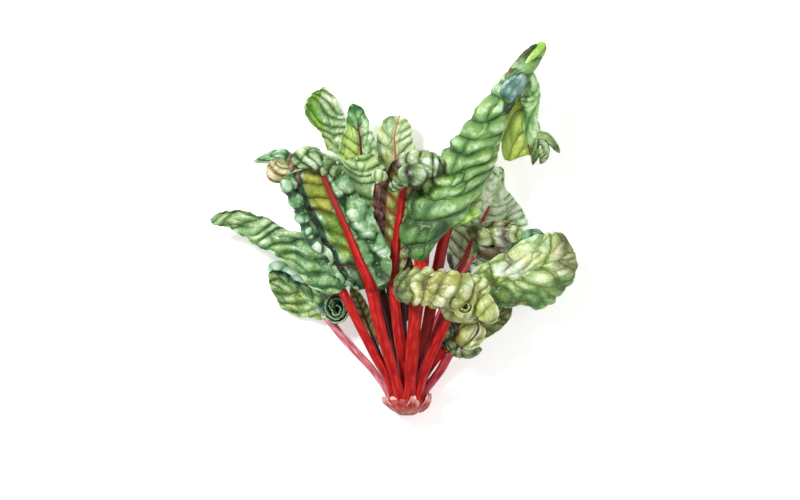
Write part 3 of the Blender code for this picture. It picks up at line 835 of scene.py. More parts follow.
# Each leaf, from the back of the bunch to the front. Its shape:
#   root      ring, and angle round the crown's axis (0 right, 90 up)
#   stalk     points after the root, the last at the leaf's base
#   width     of the stem at its root and at the leaf
#   midrib    points after the leaf's base, the last at the tip
#   left      how far the leaf reaches to the midrib's left, base to tip, and right
#   curl      how far the left and right halves bend up (or down, below zero), base to tip
#   faces     which way the upper side faces, base to tip, where it isn't up
#   ripple    height and number of the margin's long waves
#   quilt     gap between side veins, how they sweep ahead, cell length and height of the pillows
#   look      greens from deep to pale, reds of the stem, and the leaf's patches
# What a leaf may add to them is in plainShape, plainQuilt and plainLook above.
leaves = {
    # the dark maroon of this leaf also stands for the shade between the stalks
    "back_centre": {
        "root": ("outer", 268),
        "stalk": ((-3, 60, 4), (-6, 96, 3)),
        "width": (11, 9),
        "midrib": ((-8, 130, 1), (-10, 164, 0), (-11, 196, 1)),
        "left": (6, 14, 18, 14, 4),
        "right": (6, 16, 20, 16, 4),
        "curl": ((0,), (0,)),
        "ripple": (2, 2),
        "quilt": {"gap": 15, "sweep": (0.5, 0.01), "cell": 13, "height": 2.5},
        "look": {"greens": ("2e1114", "4a2a26", "5a4434", "75744a"), "reds": shadedBackReds, "vein": "5c1716"},
    },
    "upper_left": {
        "root": ("outer", 235),
        "stalk": ((-22, 70, 9), (-40, 150, 7), (-54, 222, 5)),
        "width": (11, 9),
        "midrib": ((-66, 262, 1), (-78, 296, 0), (-88, 325, 2), (-95, 352, 8), (-100, 382, 17)),
        "left": (6, 16, 18, 16, 14, 16, 27, 10),
        "right": (6, 16, 18, 17, 17, 19, 15, 5),
        "curl": ((10, 20, 30, 40, 110, 90), (10,)),
        "ripple": (2, 3),
        "quilt": {"gap": 13, "sweep": ((0.6, 0.006), (-1.0, 0.0)), "cell": 24, "height": 4.4, "overRib": True,
                  "paired": True, "split": 0.6, "warp": 1.0, "spread": 0.5},
        "look": {"greens": ("3c5a30", "789860", "a8c28e", "f4fcec"), "reds": shadedBackReds, "vein": "7c8f5a",
                 "ribHide": -0.2, "sideVeins": False, "smallDepth": 0.1, "lineDepth": 0.6, "valley": 0.45,
                 "patches": (((0.9, -0.8), (0.3, 0.55), ("4a7c1c", "78ac34", "a8d460")),
                             ((0.12, 0.0), (0.2, 1.4), ("3e5a35", "5f7d4c", "9aae86")))},
    },
    "top_centre": {
        "root": ("inner", 255),
        "stalk": ((-5, 102, 18), (-10, 198, 16)),
        "width": (10, 8),
        "midrib": ((-13, 240, 17), (-16, 275, 20), (-14, 300, 22), (-15, 322, 24), (-9, 348, 28)),
        "left": (5, 15, 18, 21, 22, 20, 13),
        "right": (5, 15, 19, 23, 24, 21, 14),
        "tipRound": 14,
        "curl": ((20,), (20,)),
        "ripple": (2, 2),
        "quilt": {"gap": 19, "sweep": (0.55, 0.008), "cell": 18, "height": 4, "split": 0.5, "warp": 0.45,
                  "scallop": (0.12, 0.12)},
        "look": {"greens": ("6f8a50", "96ad72", "bcd09a", "e7f5d2"), "reds": shadedBackReds, "vein": "c05a58",
                 "veinFrom": 0.1, "veinTo": 0.4, "veinWidth": 1.6, "rowLine": "56703c",
                 "patches": (((0.35, -0.4), (0.12, 0.7), ("7a6a45", "a3986c", "c2c09a")),)},
    },
    "back_right": {
        "root": ("inner", 301),
        "stalk": ((20, 60, 17), (44, 118, 14), (62, 156, 11)),
        "width": (9, 9),
        "midrib": ((75, 188, 4), (90, 218, 0), (101, 242, 0), (109, 264, 4), (113, 286, 10)),
        "left": (10, 24, 28, 27, 26, 21, 14),
        "right": (10, 20, 46, 57, 41, 11, 5),
        "tipRound": 8,
        "curl": ((15,), (15,)),
        "ripple": (3, 2),
        "quilt": {"gap": 11, "sweep": (0.35, 0.004), "cell": 15, "height": 5.2, "warp": 0.7, "split": 0.6,
                  "bubbles": ((0, 10, 0.0, 2, 0.5, 2), (1, 9, 0.0, 0.4, 0.72, 2))},
        # its greens are lifted close to white: painted light that offsets the shade of the leaves above it
        "look": {"greens": ("5a9044", "bcdca8", "ecfae0", "ffffff"), "valley": 0.55, "rowLine": "3c6e30",
                 "cellLine": "6f9a5c", "smallDepth": 0.1, "reds": ("a02c38", "cc4450", "e07a80"),
                 "hueWash": 0.15, "lineDepth": 0.7, "vein": "b0454e", "veinFrom": 0.5, "veinTo": 1.0,
                 "veinWidth": 1.2, "ribHide": 0.62, "ribLift": 0.4,
                 "patches": (((0.44, 0.6), (0.18, 0.5), ("2f6a30", "86b878", "d4f0cc")),
                             ((0.2, -0.4), (0.2, 0.5), ("8a9a78", "d4dcbc", "f6faec")),
                             ((0.0, 0.7), (0.12, 0.5), ("3a4a3c", "74866c", "b4c4a4")),
                             # the last patch is painted shade along the bottom of the lower left lobe
                             ((0.02, -0.9), (0.16, 0.3), ("1c2430", "4a5866", "94a49c")))},
    },
    "low_right": {
        "root": ("outer", 300),
        "stalk": ((28, 46, 9), (54, 76, 5)),
        "width": (10, 8),
        "midrib": ((74, 91, 1), (92, 100, 0), (110, 109, 1), (127, 118, 4)),
        "left": (6, 16, 18, 14, 4),
        "right": (6, 18, 21, 17, 5),
        "curl": ((10,), (10,)),
        "ripple": (2, 2),
        "quilt": {"gap": 12, "sweep": (0.5, 0.01), "cell": 12, "height": 2.5},
        "look": {"greens": ("3f4f28", "657641", "7d8c54", "b1bf89"), "reds": deepReds, "vein": "5b4a2c",
                 "sideVeins": False},
    },
    "sliver_left": {
        "root": ("outer", 203),
        "stalk": ((-24, 36, 14), (-36, 66, 9)),
        "width": (8, 6),
        "midrib": ((-46, 92, 5), (-56, 118, 3), (-67, 142, 4)),
        "left": (4, 8, 9, 8, 3),
        "right": (4, 8, 9, 8, 3),
        "curl": ((20,), (20,)),
        "ripple": (1, 2),
        "quilt": {"gap": 10, "sweep": (0.5, 0.01), "cell": 9, "height": 1.5},
        "look": {"greens": ("4a3a1c", "7c7a3c", "abae64", "d8e4ac"), "reds": shadedBackReds, "vein": "6a4a2a",
                 "sideVeins": False},
    },
    "low_left": {
        "root": ("outer", 173),
        "stalk": ((-40, 40, 26), (-59, 61, 23), (-78, 82, 19), (-97, 105, 14)),
        "width": (11, 9),
        "midrib": ((-114, 121, 7), (-132, 137, 1), (-149, 150, 0), (-165, 160, 2)),
        "left": (8, 18, 31, 21, 8),
        "right": (24, 17, 17, 20, 7),
        "curl": ((10,), (150, 110, 100, 110, 60)),
        "ripple": (2, 3),
        "quilt": {"gap": 15, "sweep": (0.6, 0.01), "cell": 13, "height": 4.2, "warp": 0.5, "split": 0.7},
        "look": {"greens": ("203a18", "587a3c", "86a664", "c4dea6"), "reds": pinkReds, "vein": "6f5a3a",
                 "ribHide": -0.2, "sideVeins": False, "rowLine": "3f4420",
                 "patches": (((0.76, 0.3), (0.42, 0.2), ("0a2418", "1c5438", "4c9070")),
                             ((0.5, 0.9), (0.4, 0.3), ("4f7f50", "8ab884", "c8e8c4")),
                             ((0.08, 0.6), (0.2, 0.9), ("1e3a26", "35573a", "78a078")))},
    },
    "bright_left": {
        "root": ("inner", 200),
        "stalk": ((-22, 90, 30), (-42, 204, 26)),
        "width": (10, 8),
        "midrib": ((-50, 250, 28), (-54, 285, 31), (-56, 315, 35), (-60, 342, 40), (-66, 361, 46)),
        "left": (6, 18, 24, 28, 26, 15, 6),
        "right": (6, 16, 21, 22, 18, 14, 7),
        "curl": ((30, 40, 50), (20,)),
        "ripple": (2, 3),
        "quilt": {"gap": 17, "sweep": (0.45, 0.012), "cell": 18, "height": 3.6, "warp": 0.4,
                  "bubbles": ((1, 12, 0.2, 2, 0.0, 2),)},
        "look": {"greens": ("2c5430", "5c8a50", "88ac72", "dcf4ce"), "reds": shadedBackReds, "vein": "6a1c1c",
                 "veinFrom": 0.1, "veinTo": 0.4, "veinWidth": 3.0, "ribLift": 0.2, "ribHide": 0.84,
                 "patches": (((0.55, -0.72), (0.4, 0.72), ("9bb35b", "bddb74", "d8f29a")),
                             ((0.98, -0.1), (0.16, 1.2), ("1c5424", "4a8a44", "b4e09c")))},
    },
    "mid_right": {
        "root": ("inner", 350),
        "stalk": ((21, 52, 32), (43, 108, 36), (63, 150, 35)),
        "width": (9, 8),
        "midrib": ((80, 178, 33), (96, 194, 34), (116, 203, 36), (140, 206, 36)),
        "left": (1, 1, 9, 22, 17, 4),
        "right": (1, 1, 10, 14, 11, 3),
        "baseRound": 3,
        "curl": ((60, 80, 60), (30,)),
        "ripple": (2, 2),
        "quilt": {"gap": 17, "sweep": (0.4, 0.01), "cell": 15, "height": 4, "overRib": True, "warp": 0.5},
        "look": {"greens": ("303a1a", "707c4a", "a4ac80", "e0e8c8"), "reds": ("8c1c28", "b03844", "cc6068"),
                 "vein": "b03844", "veinFrom": 0.6, "veinTo": 1.0, "ribLift": 0.3,
                 "sideVeins": False, "ribHide": 0.3,
                 "patches": (((0.6, 0.5), (0.5, 0.6), ("1c100e", "44342c", "7a7058")),)},
    },
    "right": {
        "root": ("outer", 345),
        "stalk": ((22, 34, 28), (40, 62, 36), (60, 92, 46), (76, 116, 52)),
        "width": (11, 10),
        "midrib": ((96, 138, 58), (122, 154, 62), (150, 164, 62), (178, 173, 58), (200, 184, 50)),
        "left": (8, 24, 27, 34, 35, 26),
        "right": (8, 24, 38, 46, 34, 12),
        "tipRound": 9,
        "curl": ((-20, -30, -40), (-20, -30, -40)),
        "ripple": (4, 3),
        "quilt": {"gap": 21, "sweep": (0.55, 0.006), "cell": 16, "height": 3.6, "split": 0.7, "small": 8,
                  "warp": 0.6, "overRib": True, "loose": (0.9, 0.9)},
        "look": {"greens": ("50702c", "88a65a", "b4ca8a", "ecf6da"), "reds": brightReds, "vein": "7a2b28",
                 "veinFrom": 0.0, "veinTo": 0.2, "ribHide": -0.2, "sideVeins": False, "rowLine": "6b3a2e",
                 "cellLine": "5a3426", "lineDepth": 0.8, "cellDepth": 0.65, "smallDepth": 0.35, "line": 0.85,
                 "patches": (((0.08, 0.0), (0.34, 1.3), ("304f1c", "5f8a38", "a8cc7c")),
                             ((0.6, 0.85), (0.5, 0.45), ("2c5028", "5c8844", "98bc78")),
                             ((0.97, 0.1), (0.2, 1.2), ("4f5a2c", "949c68", "dcd4b8")),
                             # the last, near-white patch is a painted highlight in the middle of the leaf
                             ((0.5, -0.3), (0.18, 0.45), ("a8bc88", "e0eccc", "ffffff")))},
    },
    "arch_right": {
        "root": ("inner", 45),
        "stalk": ((17, 60, 48), (25.5, 100, 50), (38, 170, 48), (48, 210, 44)),
        "width": (16.5, 13),
        "midrib": (
            (72, 264, 40),
            (97, 326, 40),
            (120, 370, 46),
            (138, 390, 60),
            (143, 374, 74),
            (141, 350, 78),
            (143, 322, 74),
            (147, 300, 66),
        ),
        "left": (6, 20, 24, 22, 16, 12, 14, 24, 30, 30),
        "right": (6, 18, 22, 20, 14, 12, 13, 13, 16, 18),
        "curl": ((20, 20, 10), (20, 30, 60, 80, 60)),
        "faces": (upward, upward, upward, upward, (0, -1, 0.2), (0, 0, -1), (0, 0, -1)),
        "ripple": (2, 4),
        "quilt": {"gap": 20, "sweep": (0.5, 0.01), "cell": 18, "height": 2.6},
        "look": {"greens": ("44682c", "6f9550", "9ab477", "daf0c7"), "reds": ("6f0a07", "9c120e", "bb241d"),
                 "vein": "7a3a2a",
                 "veinFrom": 0.1, "veinTo": 0.4, "veinWidth": 1.1, "ribLift": 0.0, "ribHide": 0.6,
                 "rowLine": "7a3a2a", "cellLine": "84502f", "under": "b8d25c", "underDepth": 0.8,
                 "patches": (((0.83, -0.7), (0.3, 0.66), ("98b83c", "c2dc5a", "e2f48c")),
                             ((0.12, 0.9), (0.16, 0.7), ("6f9a3a", "98c452", "c2e27e")))},
    },
    "far_left": {
        "root": ("outer", 143),
        "stalk": ((-28, 40, 52), (-39, 60, 54), (-59, 100, 56), (-78, 137, 56)),
        "width": (12, 11),
        "midrib": (
            (-98, 160, 54),
            (-118, 180, 50),
            (-145, 196, 48),
            (-175, 210, 46),
            (-205, 221, 42),
            (-236, 222, 38),
        ),
        "left": (12, 26, 25, 20, 19, 11, 5),
        "right": (14, 30, 28, 14, 17, 13, 5),
        "curl": ((20, 20, 60, 60), (20, 20, 60, 60)),
        "ripple": (3, 3),
        "quilt": {"gap": 20, "sweep": ((1.1, 0.004), (-1.1, 0.0)), "cell": 26, "height": 5.4,
                  "pleats": (0.62, 15, 2.6), "spread": 0.5, "warp": 0.6, "split": 0.65, "paired": True,
                  "overRib": True},
        "look": {"greens": ("1f4426", "5c884c", "94b880", "e2f4d2"), "reds": brightReds, "vein": "6a5040",
                 "ribHide": -0.2, "sideVeins": False, "rowLine": "1f3c26", "cellLine": "1f3c26",
                 "pleatLine": "2c4a2c",
                 "patches": (((0.9, 0.0), (0.3, 1.4), ("56703a", "8cb072", "ccdeb4")),
                             ((0.1, 0.0), (0.25, 1.4), ("1f4028", "4d7a47", "a4cc96")),
                             # the last patch, near black where this leaf meets broad_left, is painted shadow
                             ((0.14, 0.8), (0.2, 0.4), ("10181a", "28382c", "5c7058")))},
    },
    "inner_left": {
        "root": ("inner", 154),
        "stalk": ((-16, 80, 46), (-30, 138, 50)),
        "width": (9, 8),
        "midrib": ((-42, 186, 52), (-50, 232, 58), (-55, 268, 66), (-60, 298, 74)),
        "left": (6, 20, 24, 24, 22, 15),
        "right": (6, 19, 15, 18, 32, 17),
        "curl": ((20,), (30, 20, 20)),
        "ripple": (2, 3),
        "quilt": {"gap": 10.5, "sweep": ((0.5, 0.006), (-0.35, 0.006)), "cell": 17, "height": 4,
                  "overRib": True, "paired": True, "warp": 0.7, "split": 0.6, "spread": 0.45},
        "look": {"greens": ("3f6034", "76a25e", "9cc886", "def6d0"), "reds": shadedBackReds, "vein": "5d7d48",
                 "ribHide": -0.2, "sideVeins": False, "margin": "4f1d1c", "marginDepth": 0.3,
                 "patches": (((0.93, 0.0), (0.24, 1.4), ("6a8f48", "a6c684", "def6c6")),
                             ((0.5, 0.95), (0.4, 0.2), ("2f1406", "4a2420", "6a4a40")))},
    },
    "centre": {
        "root": ("inner", 100),
        "stalk": ((-6, 60, 54), (-12, 100, 60), (-16, 150, 62)),
        "width": (14, 12),
        "midrib": (
            (-13, 196, 64),
            (-9, 230, 68),
            (-4, 260, 76),
            (0, 278, 88),
            (4, 290, 96),
        ),
        "left": (6, 20, 25, 27, 26, 18),
        "right": (6, 15, 14, 13, 22, 26),
        "ribTip": 6.6,
        "curl": ((20, 20, 40), (20, 20, 40)),
        "ripple": (2, 3),
        "quilt": {"gap": 16, "sweep": (0.45, 0.008), "cell": 13, "height": 3},
        "look": {"greens": ("4a2c14", "66662c", "889450", "b8c88a"), "reds": brightReds, "vein": "9c1c18",
                 "veinFrom": 0.6, "veinTo": 1.2, "veinWidth": 3.5, "ribLift": 0.3, "ribHide": 0.86,
                 "patches": (((0.5, -0.95), (0.6, 0.35), ("2f1406", "4a1d1c", "63302a")),
                             ((0.95, 0.5), (0.25, 0.6), ("2c1a1c", "4a3034", "6a6258")),
                             ((0.45, 0.9), (0.3, 0.4), ("3a3428", "6d7d5a", "a9b996")))},
    },
    "broad_left": {
        "root": ("outer", 113),
        "stalk": ((-22, 60, 62), (-34, 100, 68), (-43, 140, 72)),
        "width": (12.5, 15),
        "midrib": (
            (-58, 176, 76),
            (-72, 210, 80),
            (-86, 242, 86),
            (-98, 270, 98),
            (-106, 288, 106),
        ),
        "ribTip": 5.4,
        "left": (12, 30, 38, 43, 46, 46, 42),
        "right": (20, 36, 38, 38, 29, 27, 24),
        "curl": ((35, 50, 60), (20, 20, 40)),
        "ripple": (3, 4),
        "quilt": {"gap": 19, "sweep": ((0.75, 0.002), (0.4, 0.006)), "cell": 22, "height": 5.5,
                  "frill": ((3.0, 15), (1.5, 24)),
                  "split": 0.3, "warp": 0.5, "fine": 1.0, "uneven": 0.06, "scallop": (0.08, 0.06),
                  "bubbles": ((1, 19, 0.14, 2, 0.0, 2), (0, 15, 0.7, 2, 0, 2))},
        "look": {"greens": ("162a16", "426a3c", "74a26c", "dcf2d4"), "hueWash": 0.4, "reds": brightReds,
                 "vein": "a0302a",
                 "veinFrom": 0.5, "veinTo": 0.8, "veinWidth": 2.7, "ribLift": 0.25, "rowLine": "2a2a18",
                 "ribHide": 0.93, "margin": "9dbf7c", "veinedHalves": (0,), "cellDepth": 0.35,
                 "patches": (((0.82, -0.28), (0.28, 0.28), ("5a6a1c", "96a034", "ccca58")),
                             ((0.44, -0.28), (0.26, 0.28), ("2a5020", "5c8a36", "a4ba56")),
                             ((0.1, -0.3), (0.18, 0.34), ("182418", "34503a", "64845c")),
                             # the fourth patch, a near-black band on the left half, is painted shade inside
                             # the curled margin
                             ((0.5, -0.72), (0.75, 0.2), ("0a1410", "142a1e", "30583a")),
                             ((0.62, -0.93), (0.8, 0.2), ("2f5a34", "7fae78", "e2f6dc")),
                             ((0.02, 0.6), (0.18, 0.7), ("3a5a36", "78a06c", "c4dcb4")))},
    },
    "tall_right": {
        "root": ("outer", 82),
        "stalk": ((6, 60, 68), (9, 100, 76), (15, 150, 83), (17, 170, 84)),
        "width": (13, 18),
        "midrib": (
            (25, 204, 88),
            (42, 244, 93),
            (67, 288, 98),
            (97, 342, 102),
            (124, 384, 100),
            (146, 411, 94),
            (164, 433, 86),
        ),
        "left": (12, 30, 33, 30, 27, 21, 16, 13, 10, 5),
        "right": (3, 14, 29, 33, 33, 26, 18, 15, 12, 6),
        "curl": ((-50, -70, -60), (-50, -70, -60)),
        "ripple": (3, 4),
        "quilt": {"gap": 24, "sweep": ((-0.6, 0.02), (0.9, 0.008)), "cell": 24, "height": 6.8,
                  "overRib": True, "paired": True, "lean": 0.8, "split": 0.75, "scallop": (0.08, 0.01),
                  "warp": 0.25, "calm": (0.35, 0.75), "rowDepth": 0.85, "uneven": 0.04, "fine": 0.3,
                  "spread": 0.4},
        "look": {"greens": ("2c4a20", "5f8a48", "7fa85e", "c8e4b4"), "reds": brightReds, "vein": "5f8545",
                 "ribHide": -0.2, "sideVeins": False, "rowLine": "22371a", "line": 1.1,
                 "smallDepth": 0.1, "cellDepth": 0.6,
                 "patches": (((0.79, -0.5), (0.11, 0.7), ("4a7848", "8cb47c", "d8eec8")),
                             ((0.71, 0.6), (0.04, 0.45), ("0a0e0a", "1a281c", "3a4a34")),
                             ((1.0, 0.3), (0.07, 1.4), ("4f8a2c", "8cbc4a", "cdea86")),
                             ((0.0, 0.0), (0.25, 1.4), ("142a0e", "38602a", "6c9852")),
                             ((0.1, -0.9), (0.3, 0.3), ("12240e", "2c4e22", "5c8648")),
                             ((0.15, 0.45), (0.05, 0.3), ("0a1c10", "1c4024", "3c6c40")))},
    },
    "low_curl": {
        "root": ("outer", 20),
        "stalk": ((27, 24, 42), (40, 42, 49), (50, 60, 52)),
        "width": (11, 11),
        "midrib": ((60, 68, 50), (72, 72, 48), (84, 74, 44)),
        "left": (6, 12, 14, 8),
        "right": (6, 11, 12, 6),
        "curl": ((30, 70, 50), (-40,)),
        "ripple": (1, 2),
        "quilt": {"gap": 16, "sweep": (0.3, 0.01), "cell": 14, "height": 2.4},
        "look": {"greens": ("565d30", "8f9a50", "b4bd70", "dce1a6"), "reds": ("7a1a20", "a53040", "c2525c"),
                 "vein": "8a5a3a", "veinFrom": 0.05, "veinTo": 0.3, "sideVeins": False, "margin": "e6ebc0",
                 "marginDepth": 0.8,
                 "patches": (((0.4, 0.7), (0.9, 0.6), ("2f3a20", "565d3d", "8a9668")),)},
    },
    "front_curl": {
        "root": ("outer", 50),
        "stalk": ((22, 42, 58), (36, 76, 70), (48, 102, 84)),
        "width": (11, 11),
        "midrib": ((54, 116, 90), (58, 130, 96), (60, 144, 98)),
        "left": (6, 14, 20, 12),
        "right": (10, 26, 34, 24),
        "curl": ((-40, -60), (-20, -40)),
        "ripple": (2, 3),
        "quilt": {"gap": 16, "sweep": (0.1, 0.004), "cell": 18, "height": 4, "overRib": True, "paired": True,
                  "split": 0.4},
        "look": {"greens": ("6a6e30", "a0a860", "c3cb8c", "f0f5d4"), "reds": brightReds, "vein": "8a5a3a",
                 "ribLift": -0.6, "sideVeins": False, "rowLine": "6a4a30", "cellLine": "8a6a48",
                 "margin": "eef0cc", "marginDepth": 0.8,
                 "patches": (((0.95, 0.3), (0.25, 1.0), ("4a6a28", "7f9a50", "b8cc84")),
                             ((0.1, 0.5), (0.2, 0.8), ("7f8f35", "a9b163", "d8dc9c")))},
    },
}

for number, (leafName, table) in enumerate(leaves.items()):
    leaf = fillIn(table, plainShape, plainQuilt, number + 3)
    sheet = leafSheet(leaf)
    sheet["normalGrid"] = sheetNormals(sheet["points"])
    blade = makeLeaf(f"{leafName}_leaf", leaf, sheet)
    stem = makeStem(leafName, leaf, sheet)
    for piece, node in ((blade, f"{leafName}_blade"), (stem, f"{leafName}_stalk")):
        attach(piece, "root")
        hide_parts(node)
    print(f"{leafName}: {len(blade.data.polygons)} and {len(stem.data.polygons)} faces")

